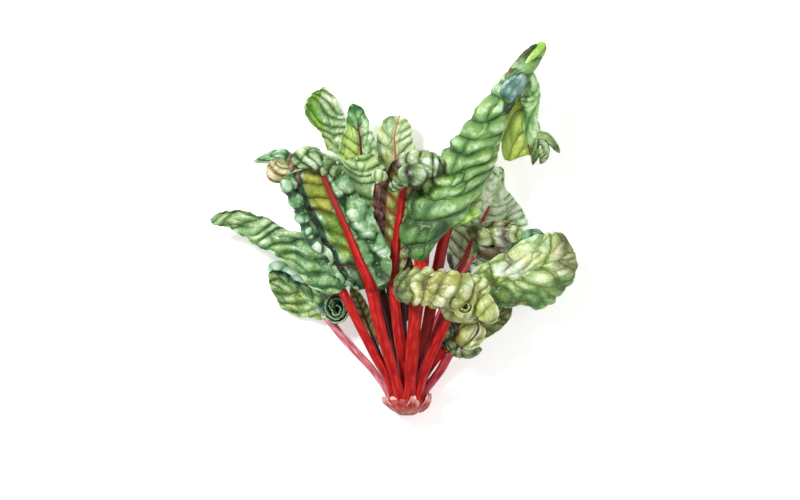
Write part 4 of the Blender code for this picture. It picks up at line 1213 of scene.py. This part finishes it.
# Rolled-up parts of the leaves: the path of each roll's middle, its radius from end to end, how many
# times it is wound and where its outer margin lies (0 to the path's right, 90 up).
rolls = {
    "centre_front_roll": {
        "path": ((-7, 270, 108), (0, 273, 113), (7, 274, 114), (14, 272, 112), (20, 268, 106)),
        "radius": (9, 14, 15.5, 14, 9),
        "start": 330,
        "quilt": {"gap": 10.5, "cell": 34, "height": 4.2, "split": 0.35, "sweep": (0.35, -0.004), "warp": 0.6,
                  "spread": 0.5, "sway": 2.0},
        "look": {"greens": ("141a10", "3e5630", "7c9a62", "e4f2d4"), "rowLine": "1c1214",
                 "cellLine": "2a1418", "line": 1.2, "lineLeast": 0.15, "valley": 0.9, "puffTone": 0.7,
                 "hueWash": 0.4, "patches": (((0.04, 0.0), (0.14, 1.5), ("24100e", "44282a", "8a6a60")),
                             ((0.96, 0.0), (0.14, 1.5), ("1c0e10", "3a2826", "6a6048")),
                             ((0.5, 0.34), (0.5, 0.08), ("120c0c", "2a2418", "4a4c30")))},
    },
    "centre_margin": {
        "path": ((-33, 272, 80), (-34, 258, 76), (-38, 244, 74), (-33, 230, 73), (-37, 216, 72),
                 (-32, 200, 70), (-33, 186, 68), (-27, 176, 66)),
        "radius": (3, 4.2, 2.8, 4, 3, 3.8, 2.6, 2),
        "start": 10,
        "flat": 0.6,
        "quilt": {"gap": 17, "cell": 9, "height": 1.8, "split": 0.5, "spread": 0.5},
        "look": {"greens": ("24090a", "451a1a", "66322c", "a87a6a"), "cellLine": "1c0606"},
    },
    "centre_back_roll": {
        "path": ((-12, 284, 98), (0, 289, 102), (14, 290, 104), (28, 286, 102), (42, 276, 94)),
        "radius": (8, 13, 15, 14, 7),
        "quilt": {"gap": 9, "cell": 16, "height": 3.0, "split": 0.5, "sweep": (0.3, 0.0), "warp": 0.8,
                  "spread": 0.5},
        "look": {"greens": ("2a2814", "58703f", "98b27c", "f8fdf2"), "rowLine": "2c2818", "lineDepth": 0.9,
                 "valley": 0.85, "puffTone": 0.76, "lineLeast": 0.1,
                 "patches": (((0.94, 0.0), (0.2, 1.5), ("12201c", "24342c", "56684c")),
                             ((0.05, 0.0), (0.14, 1.5), ("3a2024", "6a4c48", "b09c88")))},
    },
    "broad_left_ball": {
        "path": ((-131, 288, 109), (-125, 292, 115), (-112, 293, 116), (-100, 288, 109)),
        "radius": (9, 14, 14.5, 9),
        "start": 250,
        "quilt": {"gap": 17, "cell": 26, "height": 4.2, "split": 0.6, "sweep": (0.12, 0.0), "sway": 2.0,
                  "warp": 0.7},
        "look": {"greens": ("1c3412", "4c7038", "a8c48c", "f4faea"), "rowLine": "1c3014",
                 "cellLine": "1c3014", "cellDepth": 0.8, "line": 1.7, "lineLeast": 0.6, "hueWash": 0.3,
                 "patches": (((0.5, 0.1), (0.9, 0.24), ("22140c", "4a341c", "7a6a3c")),
                             ((0.04, 0.0), (0.14, 1.5), ("16300e", "356428", "74985a")))},
    },
    "broad_left_point": {
        "path": ((-182, 291, 100), (-173, 294, 103), (-161, 297, 106), (-149, 298, 107), (-138, 294, 105)),
        "radius": (1, 4.4, 7.6, 9.4, 8),
        "start": 60,
        "baseRound": 4,
        "flat": 0.7,
        "quilt": {"gap": 24, "cell": 8, "height": 3.2, "split": 0.8, "warp": 0.9, "sweep": (0.6, 0.0),
                  "sway": 2.0},
        "look": {"greens": ("1c3a1c", "4a7a4c", "8ab47e", "dceed0"), "rowLine": "3a2c16",
                 "cellLine": "2f3a1c", "margin": "8a7a46", "marginDepth": 0.6,
                 "patches": (((0.6, -0.62), (0.5, 0.2), ("5a4a2c", "a08c64", "e4dcc0")),)},
    },
    "broad_left_lobe": {
        "path": ((-165, 278, 101), (-158, 279, 106), (-148, 281, 108), (-139, 285, 105)),
        "radius": (8, 12.5, 13, 9),
        "start": 290,
        "quilt": {"gap": 9, "cell": 19, "height": 3.6, "split": 0.5, "warp": 0.8, "sweep": (0.7, 0.0),
                  "sway": 2.6, "spread": 0.5},
        "look": {"greens": ("4a3c1c", "867a4c", "b8b080", "f8f4e0"), "rowLine": "5a3418",
                 "cellLine": "6a4420", "line": 1.3, "margin": "8a6030", "marginDepth": 0.6, "hueWash": 0.2,
                 "patches": (((0.1, 0.1), (0.3, 0.3), ("6a4414", "a07c40", "e4d0a0")),
                             ((0.8, -0.3), (0.3, 0.3), ("5a6a30", "9aa468", "d8dcb4")))},
    },
    "broad_left_link": {
        "path": ((-140, 302, 102), (-138, 293, 106), (-135, 283, 109), (-131, 273, 110), (-127, 263, 108)),
        "radius": (4, 7, 8.5, 7, 4),
        "start": 120,
        "flat": 0.6,
        "quilt": {"gap": 13, "cell": 12, "height": 2.0, "sweep": (0.4, 0.0), "warp": 0.6},
        "look": {"greens": ("1a1012", "3c2a2a", "5f4a40", "8f7c60"), "rowLine": "8a1c18",
                 "cellLine": "3a1416", "line": 1.2,
                 "patches": (((0.2, 0.0), (0.28, 1.5), ("4a2c18", "8a6a40", "c4ae78")),)},
    },
    "broad_left_fold": {
        "path": ((-104, 291, 105), (-95, 288, 107), (-86, 282, 105), (-78, 275, 100)),
        "radius": (9, 13, 12, 7),
        "start": 230,
        "quilt": {"gap": 15, "cell": 13, "height": 4.6, "split": 0.85, "loose": (0.9, 0.9), "warp": 0.8,
                  "sway": 2.4},
        "look": {"greens": ("1c2a0e", "456a30", "9aba82", "f2faea"), "rowLine": "2a2010",
                 "cellLine": "2c2a14", "cellDepth": 0.6, "valley": 0.85,
                 "patches": (((0.5, 0.12), (0.9, 0.22), ("22180c", "3f3a1c", "6a7044")),)},
    },
    "front_curl_roll": {
        "path": ((-14, 140, 100), (0, 141, 108), (20, 140, 114), (42, 138, 116), (62, 134, 112),
                 (82, 128, 102)),
        "radius": (15, 22, 23, 23, 22, 14),
        "start": 250,
        "tipRound": 12,
        "baseRound": 12,
        "quilt": {"gap": 15, "cell": 17, "height": 6, "split": 0.5, "sweep": (-0.12, 0.0), "warp": 0.55,
                  "spread": 0.5, "sway": 2.5, "loose": (0.8, 0.8)},
        "look": {"greens": ("403c14", "7c843e", "acb268", "f0f4d2"), "rowLine": "4f2e1a",
                 "cellLine": "5c4626", "lineDepth": 0.65, "margin": "eef0cc", "cellDepth": 0.5,
                 "patches": (((0.0, 0.0), (0.3, 1.5), ("243410", "566c32", "98a864")),)},
    },
    "front_curl_knot": {
        "path": ((66, 113, 104), (68, 117, 114), (69, 120, 124)),
        "radius": (13, 14, 11),
        "faces": ((0, 1, 0),),
        "turns": 2.3,
        "tight": 0.85,
        "start": 100,
        "flat": 1.0,
        "tipLeast": 0.97,
        "quilt": {"gap": 40, "cell": 16, "height": 2, "split": 0.6},
        "look": {"greens": ("4f5a1c", "8a983e", "b4be64", "eef2cc"), "cellLine": "6b4a30", "cellDepth": 0.5,
                 "margin": "e8ecbc", "marginDepth": 0.8},
    },
    "front_curl_lobe": {
        "path": ((82, 132, 98), (90, 122, 106), (96, 111, 108), (97, 99, 104)),
        "radius": (8, 13, 14, 9),
        "start": 150,
        "quilt": {"gap": 11, "cell": 15, "height": 3.6, "split": 0.4, "sweep": (0.2, 0.0)},
        "look": {"greens": ("5f6a26", "96a24e", "b9c376", "f0f4cc"), "rowLine": "6a5a2c",
                 "cellLine": "76603a", "margin": "eef2c8", "marginDepth": 0.9},
    },
    "front_curl_shoulder": {
        "path": ((62, 150, 102), (74, 148, 106), (86, 142, 104), (94, 132, 98)),
        "radius": (7, 11, 12, 8),
        "start": 60,
        "quilt": {"gap": 9, "cell": 13, "height": 2.8, "split": 0.4},
        "look": {"greens": ("5a6a2e", "8fa053", "b4c27c", "e9eebe"), "rowLine": "5e4a2a",
                 "cellLine": "76603a", "margin": "e6ebc0", "marginDepth": 0.9},
    },
    "low_curl_ball": {
        "path": ((66, 70, 57), (71, 79, 61), (77, 89, 61), (81, 100, 55)),
        "radius": (10, 15, 16, 10),
        "start": 60,
        "turns": 1.6,
        "tight": 0.6,
        "quilt": {"gap": 15, "cell": 11, "height": 4.2, "split": 0.7, "loose": (0.6, 0.6), "warp": 0.9,
                  "sweep": (0.8, 0.0), "sway": 3.0},
        "look": {"greens": ("4f4c1c", "989c4c", "c6ca80", "f4f6d4"), "cellLine": "6a5428", "cellDepth": 0.6,
                 "rowLine": "5f5024", "margin": "f4f6d8", "marginDepth": 0.95, "marginFrom": 0.93,
                 "patches": (((0.15, -0.2), (0.3, 0.5), ("3a3c16", "7a7c3c", "aeb070")),)},
    },
    "low_curl_base": {
        "path": ((57, 64, 46), (68, 64, 48), (80, 65, 46), (90, 67, 42)),
        "radius": (6, 9, 8, 3),
        "quilt": {"gap": 10, "cell": 9, "height": 2},
        "look": {"greens": ("2f3a1c", "565d3d", "7f8f5c", "b4c498"), "cellLine": "2a2c16"},
    },
    "low_curl_side": {
        "path": ((45, 86, 50), (50, 78, 54), (54, 70, 54), (58, 62, 50)),
        "radius": (3, 7, 7, 4),
        "start": 60,
        "quilt": {"gap": 9, "cell": 8, "height": 1.8},
        "look": {"greens": ("232c16", "44502c", "6f7f50", "a8b888"), "cellLine": "1c2010"},
    },
    "arch_right_rim": {
        "path": ((139, 404, 78), (146, 390, 84), (148, 368, 88), (147, 346, 86), (149, 328, 84),
                 (154, 312, 80), (152, 298, 76), (150, 288, 72)),
        "radius": (4, 9, 12, 11, 8, 10, 7, 2),
        "start": 150,
        "quilt": {"gap": 34, "cell": 18, "height": 3, "split": 0.5, "warp": 0.8, "spread": 0.6,
                  "loose": (0.9, 0.9), "sweep": (0.9, 0.0), "sway": 2.2},
        "look": {"greens": ("2c5426", "5c8c46", "98c07a", "e8f8dc"), "cellLine": "2f5426", "lineDepth": 0.5,
                 "hueWash": 0.25,
                 "patches": (((0.93, 0.0), (0.2, 1.5), ("241f0f", "4a5a2c", "94ac68")),)},
    },
    "arch_right_hand": {
        "path": ((150, 318, 82), (157, 322, 86), (165, 321, 86), (172, 315, 82), (178, 308, 78),
                 (182, 302, 74)),
        "radius": (5, 6, 5, 4.5, 4, 2.2),
        "start": 80,
        "quilt": {"gap": 40, "cell": 5, "height": 1.4, "loose": (0.3, 0.5)},
        "look": {"greens": ("22300e", "4c6a2c", "7c9a54", "cfe2ae"), "cellLine": "2a2410"},
    },
    "arch_right_claw": {
        "path": ((149, 321, 80), (156, 317, 83), (162, 308, 82), (163, 298, 77), (159, 289, 72)),
        "radius": (4, 8, 8.5, 6, 2),
        "start": 120,
        "quilt": {"gap": 11, "cell": 7, "height": 2.8, "split": 0.7, "sweep": (0.9, 0.0), "warp": 0.9,
                  "sway": 2.6, "spread": 0.5},
        "look": {"greens": ("26280f", "4c6430", "86a060", "dcebc4"), "rowLine": "2c2412",
                 "cellLine": "33281a",
                 "patches": (((1.0, 0.0), (0.2, 1.5), ("241810", "5a4a34", "9a8a70")),)},
    },
    "low_left_roll": {
        "path": ((-82, 116, 11), (-83, 116, 24), (-85, 117, 38)),
        "radius": (14, 18, 19),
        "faces": ((0, 1, 0),),
        "turns": 2.7,
        "tight": 0.84,
        "start": 330,
        "flat": 1.0,
        "tipLeast": 0.97,
        "quilt": {"gap": 40, "cell": 14, "height": 2.2, "split": 0.6, "sway": 2.5},
        "look": {"greens": ("1e3828", "3f6c48", "84ac80", "d4ecd0"), "cellLine": "16261a", "lineDepth": 0.3,
                 "patches": (((1.0, 0.0), (0.3, 1.5), ("4c7850", "9cc49a", "ecfae8")),)},
    },
    "low_left_edge": {
        "path": ((-168, 161, 9), (-161, 167, 11), (-150, 167, 13), (-140, 162, 14), (-131, 155, 15),
                 (-123, 147, 15)),
        "radius": (3, 5.5, 5.5, 5.5, 6, 4),
        "start": 340,
        "flat": 0.6,
        "quilt": {"gap": 24, "cell": 30, "height": 1.2, "split": 0.3, "warp": 0.6},
        "look": {"greens": ("4f9070", "94c8a4", "c4e8cc", "f0fcee"), "cellLine": "3f7a5c", "cellDepth": 0.2,
                 "lineDepth": 0.4, "margin": "0e2c1c", "marginDepth": 0.7},
    },
    "tall_right_lime_flap": {
        "path": ((54, 219, 74), (64, 223, 76), (76, 229, 74), (88, 232, 68)),
        "radius": (3, 7, 7, 4),
        "start": 60,
        "flat": 0.45,
        "quilt": {"gap": 16, "cell": 12, "height": 1.6},
        "look": {"greens": ("5c8a2c", "8cbc40", "b4d868", "dcf4a0")},
    },
    "mid_right_roll": {
        "path": ((70, 209, 42), (80, 208, 46), (94, 203, 49), (110, 202, 49), (127, 205, 47), (142, 203, 40)),
        "radius": (5, 10, 10, 11, 9, 4),
        "start": 240,
        "quilt": {"gap": 19, "cell": 17, "height": 4.4, "split": 0.6, "sweep": (0.5, 0.0), "warp": 0.7,
                  "sway": 2.4, "spread": 0.5},
        "look": {"greens": ("2a3012", "6c7a3c", "a4ae78", "f0f4d8"), "rowLine": "3a2c1c",
                 "cellLine": "3a301c", "patches": (((0.16, 0.0), (0.14, 1.5), ("2a3414", "5a6a2c", "909c58")),
                             ((0.62, 0.0), (0.12, 1.5), ("3a342c", "7c7866", "c4c4b4")),
                             ((0.8, -0.3), (0.12, 0.3), ("5a7a3c", "a8bc74", "f4f8dc")))},
    },
    "mid_right_under": {
        "path": ((82, 197, 36), (88, 190, 40), (97, 183, 42), (108, 185, 42), (121, 191, 38)),
        "radius": (5, 9, 10, 9, 4),
        "start": 240,
        "quilt": {"gap": 16, "cell": 14, "height": 3.0, "split": 0.6, "sweep": (0.5, 0.0), "warp": 0.7,
                  "sway": 2.0},
        "look": {"greens": ("180c0c", "3c2a20", "6a6044", "a4a07c"), "rowLine": "1c0c0c",
                 "cellLine": "200e0e", "patches": (((0.1, 0.0), (0.26, 1.5), ("1c3412", "3f6a28", "7ca058")),
                             ((0.5, 0.1), (0.3, 0.3), ("1a0608", "381418", "5a3434")))},
    },
    "right_back_flap": {
        "path": ((136, 199, 48), (146, 205, 52), (156, 206, 52), (166, 201, 48)),
        "radius": (3, 6, 6, 3),
        "start": 60,
        "flat": 0.5,
        "quilt": {"gap": 12, "cell": 12, "height": 1.6},
        "look": {"greens": ("24482c", "4f8058", "7cac80", "b8dcb8")},
    },
    "tall_right_bulge": {
        "path": ((116, 362, 102), (121, 371, 106), (128, 380, 106), (134, 389, 102), (138, 397, 95)),
        "radius": (7, 11.5, 12, 9, 3),
        "start": 240,
        "quilt": {"gap": 50, "cell": 30, "height": 1.6, "split": 0.3, "sweep": (0.9, 0.0), "warp": 0.8,
                  "sway": 1.6},
        "look": {"greens": ("0c1c1a", "284840", "5a8878", "d0e6e0"), "cellLine": "12241c",
                 "rowLine": "12241c", "hueWash": 0.2,
                 "patches": (((0.45, 0.0), (0.3, 0.3), ("1c2428", "34504c", "88aaa0")),
                             ((0.05, 0.0), (0.12, 1.5), ("2c5a28", "6c9a50", "c0dca4")))},
    },
    "tall_right_flap": {
        "path": ((118, 384, 98), (122, 393, 99), (128, 402, 98), (136, 411, 95), (144, 420, 92),
                 (154, 431, 88)),
        "radius": (3, 5.5, 5.5, 5, 4, 2),
        "start": 130,
        "flat": 0.6,
        "quilt": {"gap": 18, "cell": 9, "height": 2.2, "loose": (0.8, 0.8), "warp": 0.8, "sway": 2.0},
        "look": {"greens": ("1f3a1c", "4f7a44", "86ac70", "cfe4bc"), "cellLine": "2c3a1c", "margin": "7a4c44",
                 "marginDepth": 0.9, "marginFrom": 0.86,
                 "patches": (((0.3, -0.92), (0.14, 0.18), ("3a201c", "6a443c", "9a7468")),
                             ((0.85, 0.0), (0.36, 1.5), ("0e2c12", "245024", "4c7c40")))},
    },
    "broad_left_beads": {
        "path": ((-150, 268, 117), (-143, 261, 121), (-136, 250, 119), (-130, 238, 115), (-125, 225, 111),
                 (-120, 211, 107), (-115, 199, 103), (-108, 189, 99), (-103, 181, 96)),
        "radius": (3, 7.2, 5.2, 8.0, 5.2, 8.4, 5.2, 7.6, 5, 6, 2),
        "start": 200,
        "quilt": {"gap": 20, "cell": 15, "height": 2.6, "split": 0.5, "warp": 0.5, "loose": (0.6, 0.8),
                  "spread": 0.2, "fine": 0.3, "sway": 1.0, "rowDepth": 0.4, "sweep": (-0.06, 0.0)},
        "look": {"greens": ("12301c", "2c5c34", "68a066", "ecfce4"), "rowLine": "0e2418",
                 "cellLine": "1c3c26", "cellDepth": 0.3, "line": 1.0, "lineLeast": 0.3, "valley": 0.5,
                 "hueWash": 0.3, "margin": "b4d89c",
                 # painted shade: a dark patch at each neck between two beads
                 "patches": tuple(((neck, 0.0), (0.05, 1.5), ("0c2016", "20402a", "44684a"))
                                  for neck in (0.2, 0.4, 0.6, 0.8))},
    },
    "tall_right_tip": {
        "path": ((136, 402, 95), (142, 409, 95), (150, 417, 94), (158, 426, 92), (164, 433, 88)),
        "radius": (2, 4, 4.4, 4.6, 3),
        "start": 340,
        "flat": 0.7,
        "quilt": {"gap": 60, "cell": 40, "height": 0.8, "split": 0.2},
        "look": {"greens": ("6a9a34", "9cc458", "cce48c", "f4fad8"), "lineDepth": 0.2, "cellDepth": 0.2,
                 "margin": "2c6a2c", "marginDepth": 0.7, "marginFrom": 0.8,
                 "patches": (((1.0, 0.0), (0.4, 1.5), ("5c9a2c", "84c43c", "b8e070")),)},
    },
    # a small hidden leaf, made very dark so that it also stands for the shade between the stems
    "low_curl_back": {
        "path": ((38, 69, 46), (45, 79, 50), (53, 91, 54), (61, 104, 56)),
        "radius": (2, 5, 7, 5),
        "start": 60,
        "flat": 0.5,
        "quilt": {"gap": 12, "cell": 9, "height": 2.0, "warp": 0.7, "spread": 0.5},
        "look": {"greens": ("181218", "343430", "5c6e52", "b0c4a0"), "cellLine": "1c1420",
                 "patches": (((0.1, 0.0), (0.4, 1.5), ("120c14", "2c2430", "5a5060")),)},
    },
    "centre_lobe": {
        "path": ((-20, 258, 96), (-15, 261, 101), (-10, 264, 104), (-4, 268, 106)),
        "radius": (4, 7, 7.5, 6),
        "start": 300,
        "quilt": {"gap": 8, "cell": 12, "height": 2.2, "split": 0.5, "warp": 0.6, "sweep": (0.5, 0.0)},
        "look": {"greens": ("16220e", "3c5830", "7c9c64", "dcecc8"), "rowLine": "2c1a18",
                 "cellLine": "3c2a20", "margin": "6a2030", "marginDepth": 0.8, "marginFrom": 0.75,
                 "patches": (((0.05, 0.0), (0.25, 1.5), ("34101a", "5c2430", "8a4a50")),)},
    },
    "inner_left_bud": {
        "path": ((-40, 279, 86), (-35, 275, 91), (-30, 270, 92), (-26, 262, 89)),
        "radius": (5, 8, 8, 5),
        "start": 300,
        "quilt": {"gap": 9, "cell": 14, "height": 2.2, "split": 0.5, "warp": 0.6, "sweep": (0.5, 0.0)},
        "look": {"greens": ("4a6434", "8caa6c", "bcd0a4", "eef6e0"), "rowLine": "4c6a34",
                 "cellLine": "6c8a50",
                 "patches": (((0.9, 0.0), (0.3, 1.5), ("3c0c18", "6a2434", "a45c64")),)},
    },
}

for number, (rollName, table) in enumerate(rolls.items()):
    roll = fillIn(table, rollShape, rollQuilt, number + 41)
    piece = makeLeaf(rollName, roll, rollSheet(roll))
    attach(piece, "root")
print(f"{len(rolls)} rolled-up leaf parts")

crownParts = {
    "core": (  # along the axis and radius, from the cut root end
        (-13.0, 0.4), (-13.0, 6.0), (-12.6, 7.6), (-11.2, 10.4), (-9.0, 13.4), (-6.0, 15.6), (-2.0, 16.6),
        (3.0, 16.2), (8.0, 14.5), (13.0, 10.0), (20.0, 6.0), (30.0, 4.0),
    ),
    "coreSides": 120,
    "stumpSides": 48,
    "lumps": 1.1,  # height of the core's uneven skin
    # dry bases of old leaves: angle round the crown, half-width in degrees, how far up they reach
    "scales": {
        "scale_front": (74, 20, 11.0),
        "scale_left": (150, 24, 9.0),
        "scale_low_left": (196, 26, 10.0),
        "scale_right": (28, 22, 12.0),
        "scale_low_right": (334, 26, 10.0),
        "scale_back": (262, 30, 9.0),
    },
    "scaleRadius": (17.5, 23.0, 28.6, 29.4),  # from the scale's foot to its papery edge
    "stumps": {  # old stems cut short: angle round the crown, length, width
        "stump_right": (3, 13.0, 12.0),
        "stump_left": (128, 8.0, 12.0),
        "stump_front": (98, 6.5, 9.0),
    },
}


def crownPoint(radius, angle, along):
    height = radius * np.sin(angle) + crown["axisHeight"]
    return np.stack([radius * np.cos(angle), along + 0 * angle, height], axis=-1)


def makeCore():  # the woody middle, with its trimmed root end
    table = np.array(crownParts["core"])
    rings, sides = 90, crownParts["coreSides"]
    profile = smoothCurve(table, np.linspace(0, 1, rings))
    turns = 2 * np.pi * np.arange(sides)[None, :] / sides
    along, radius = profile[:, :1], np.maximum(profile[:, 1:], 0.3)
    skin = softNoise(turns * 3.5 + 20 + 0 * along, along / 3.0 + 40 + 0 * turns, 3)
    knobs, _, _ = pillows(np.cos(turns) * 3 + 20 + 0 * along, np.sin(turns) * 3 + along / 5 + 40, 9,
                          (0.8, 0.8))
    clear = easeStep((radius - 3) / 6)  # the middle of the cut end stays flat
    lift = crownParts["lumps"] * (0.5 * skin + 1.2 * np.clip(knobs / 0.5, 0, 1) - 0.5) * clear
    rough = radius + lift + 0.6 * np.sin(5 * turns) * clear
    points = crownPoint(rough, turns, along)
    points[..., 1] = np.maximum(points[..., 1], -crownBack / mm)
    points[..., 2] = np.maximum(points[..., 2], leafMesh["floorGap"])
    marks = {"far": along + 0 * turns, "radius": radius + 0 * turns, "knob": knobs}
    marks = {mark: values.ravel() for mark, values in marks.items()}
    marks["lay"] = points.reshape(-1, 3) * mm
    return makePiece("crown_core", points.reshape(-1, 3), tubeFaces(rings, sides), marks, crownFinish())


def makeScale(name, angle, halfWidth, reach):  # one old leaf base, with a ragged papery edge
    rows, columns = 26, 30
    seed = int(angle)
    share = np.linspace(0, 1, rows + 1)[:, None]
    across = np.linspace(-1, 1, columns + 1)[None, :]
    width = halfWidth * (1 - 0.5 * share**1.5)
    turn = np.radians(angle + across * width + 0 * share)
    ragged = 1.8 * softNoise(across * 4 + 30, 0 * across + seed, seed)
    ragged = ragged + 0.8 * softNoise(across * 13 + 30, 0 * across, seed)
    top = reach * (1 - 0.45 * across**2) + ragged
    along = -7 + (top + 7) * share
    radius = smoothCurve(crownParts["scaleRadius"], share[:, 0])[:, None]
    radius = radius + 1.1 * np.sin(across * 9 + seed) * share**2
    radius = radius + 0.8 * softNoise(across * 3 + 9, share * 4 + seed, seed)
    points = crownPoint(radius + 0 * across, turn, along)
    both = twoSided(points, 0.55 - 0.3 * share)
    marks = {"far": np.tile((share * 24 - 8 + 0 * across).ravel(), 2),
             "radius": np.full(len(both), 15.0), "knob": np.ones(len(both)), "lay": both * mm}
    marks["papery"] = np.tile(np.clip(share + 0.35 * np.abs(across) ** 3, 0, 1).ravel(), 2)
    return makePiece(name, both, shellFaces(rows, columns), marks, crownFinish())


def makeStump(name, angle, length, width):  # one cut stem, hollowed a little at its end
    out = aroundAxis(angle)
    up = np.array([0.0, 1.0, 0.0])
    axis = np.array([0.0, 0.0, crown["axisHeight"]])
    course = ((14, -7), (20, -4), (24.5, 1), (27, length))  # out from the crown's axis, and along it
    knots = [axis + out * far + up * along for far, along in course]
    rings, sides = 30, crownParts["stumpSides"]
    path = smoothCurve(knots, np.linspace(0, 1, rings))
    tangents = unit(np.gradient(path, axis=0))
    normals = squareTo(np.repeat(out[None, :], rings, axis=0), tangents)
    share = np.linspace(0, 1, rings)
    widths = width * (1.1 - 0.2 * share)
    body, _, turns = tube(path, tangents, normals, widths, np.full(rings, 0.55), sides, 0.05, angle)
    slant = 1.6 * np.cos(turns[-1] + angle) + 0.9 * softNoise(turns[-1] * 3, turns[-1] * 0, angle)
    body[-1] = body[-1] + tangents[-1] * slant[:, None]
    middle = body[-1].mean(axis=0)
    rim = [middle + (body[-1] - middle) * scale - tangents[-1] * depth
           for scale, depth in ((0.9, 0.2), (0.75, 0.9), (0.45, 1.2), (0.12, 1.0))]
    body = np.concatenate([body, np.array(rim)])
    body[..., 2] = np.maximum(body[..., 2], leafMesh["floorGap"])
    count = len(body)
    cut = np.concatenate([0.4 * share**6, [0.85, 1, 1, 1]])
    marks = {"far": np.repeat(np.linspace(-8, 8, count), sides), "radius": np.full(count * sides, 15.0),
             "knob": np.ones(count * sides), "papery": np.repeat(cut, sides),
             "lay": body.reshape(-1, 3) * mm}
    return makePiece(name, body.reshape(-1, 3), tubeFaces(count, sides), marks, crownFinish())


def crownFinish():
    finish, tree, shader = startFinish("crownSkin")
    lay = readMark(tree, "lay", True)
    wash = addNode(tree, "ShaderNodeTexNoise",
                   {"Vector": lay, "Scale": 130.0, "Detail": 6.0, "Roughness": 0.65})
    longWays = addNode(tree, "ShaderNodeMapping", {"Vector": lay, "Scale": (5.0, 1.0, 5.0)})
    fibre = addNode(tree, "ShaderNodeTexNoise",
                    {"Vector": longWays.outputs[0], "Scale": 160.0, "Detail": 4.0})
    pits = addNode(tree, "ShaderNodeTexVoronoi", {"Vector": lay, "Scale": 420.0})
    tone = stretch(tree, wash.outputs[0], 0.3, 0.7, 0.0, 0.7)
    tone = sums(tree, "ADD", tone, stretch(tree, fibre.outputs[0], 0.3, 0.7, -0.1, 0.3), True)
    colour = colourRamp(tree, tone, ((0.05, "6a1c16"), (0.35, "a13630"), (0.6, "bf5956"), (0.95, "e6958a")))
    rootward = stretch(tree, readMark(tree, "far"), -12.0, -4.0, 0.85, 0.0)
    rootSkin = colourRamp(tree, tone, ((0.1, "5c3426"), (0.5, "a8785c"), (0.95, "e0c0a4")))
    colour = mixColours(tree, rootward, colour, rootSkin)
    middle = stretch(tree, readMark(tree, "radius"), 3.0, 9.0, 0.9, 0.0)
    cutFace = colourRamp(tree, tone, ((0.1, "b08a68"), (0.6, "dcc09c"), (0.95, "f4e4cc")))
    colour = mixColours(tree, middle, colour, cutFace)
    papery = stretch(tree, readMark(tree, "papery"), 0.45, 0.95, 0.0, 0.95)
    paper = colourRamp(tree, tone, ((0.1, "b8746a"), (0.5, "e8b4a8"), (0.95, "fbe6da")))
    colour = mixColours(tree, papery, colour, paper)
    seamLine = stretch(tree, readMark(tree, "knob"), 0.02, 0.25, 0.6, 0.0)
    colour = mixColours(tree, seamLine, colour, tint("5a1814"))
    tree.links.new(colour, shader.inputs["Base Color"])
    tree.links.new(stretch(tree, wash.outputs[0], 0.3, 0.7, 0.4, 0.65), shader.inputs["Roughness"])
    height = sums(tree, "ADD", fibre.outputs[0], pits.outputs[0])
    bump = addNode(tree, "ShaderNodeBump", {"Height": height, "Strength": 0.5, "Distance": 0.0006})
    tree.links.new(bump.outputs[0], shader.inputs["Normal"])
    shader.inputs["Specular IOR Level"].default_value = 0.3
    return finish


core = makeCore()
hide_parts("crown")
crownPieces = [core]
for name, (angle, halfWidth, reach) in crownParts["scales"].items():
    crownPieces.append(makeScale(name, angle, halfWidth, reach))
for name, (angle, length, width) in crownParts["stumps"].items():
    crownPieces.append(makeStump(f"{name}_cut", angle, length, width))
    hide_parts(name)
for piece in crownPieces:
    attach(piece, "root")
print("crown, scales and stumps")

pieceFaces = sum(len(o.data.polygons) for o in bpy.data.objects if o.type == "MESH")
print("faces so far", pieceFaces)

stage = {
    "floorSize": 6.0,
    "floorColour": (0.93, 0.93, 0.92, 1),
    "floorRoughness": 0.9,
    "floorGlow": 0.4,
    "skyLight": 0.43,
    "viewHeight": 6.0,
    "viewWidth": 0.96,  # how much of the table the picture takes in from side to side
    "viewMiddle": (-8.4, 186.0),
    "focusHeight": 0.04,
}

floorMesh = bpy.data.meshes.new("table")
span = stage["floorSize"] / 2
corners = [(-span, -span, 0), (span, -span, 0), (span, span, 0), (-span, span, 0)]
floorMesh.from_pydata(corners, [], [(0, 1, 2, 3)])
floor = bpy.data.objects.new("table", floorMesh)
bpy.context.scene.collection.objects.link(floor)
paper, _, paperShader = startFinish("palePaper")
paperShader.inputs["Base Color"].default_value = stage["floorColour"]
paperShader.inputs["Roughness"].default_value = stage["floorRoughness"]
paperShader.inputs["Emission Color"].default_value = (1, 1, 1, 1)
paperShader.inputs["Emission Strength"].default_value = stage["floorGlow"]
floorMesh.materials.append(paper)

lights = {
    "key": {"energy": 45.0, "size": 0.5, "place": (-1.0, 0.9, 1.8)},
    "fill": {"energy": 16.0, "size": 1.8, "place": (1.4, -0.2, 1.7)},
}
for lightName, light in lights.items():
    lamp = bpy.data.lights.new(lightName, "AREA")
    lamp.energy = light["energy"]
    lamp.size = light["size"]
    lampObject = bpy.data.objects.new(lightName, lamp)
    lampObject.location = light["place"]
    lampObject.rotation_euler = (-Vector(light["place"])).to_track_quat("-Z", "Y").to_euler()
    bpy.context.scene.collection.objects.link(lampObject)

world = bpy.data.worlds.new("studio")
world.use_nodes = True
world.node_tree.nodes["Background"].inputs[0].default_value = (1, 1, 1, 1)
world.node_tree.nodes["Background"].inputs[1].default_value = stage["skyLight"]
bpy.context.scene.world = world
bpy.context.scene.view_settings.view_transform = "Standard"

lens = bpy.data.cameras.new("view")
lens.sensor_width = 36
lens.lens = lens.sensor_width * (stage["viewHeight"] - stage["focusHeight"]) / stage["viewWidth"]
camera = bpy.data.objects.new("view", lens)
middle = np.array([*stage["viewMiddle"], 0.0]) * mm + origin
camera.location = (middle[0], middle[1], stage["viewHeight"])
bpy.context.scene.collection.objects.link(camera)
bpy.context.scene.camera = camera
print("stage, lights and camera are set")
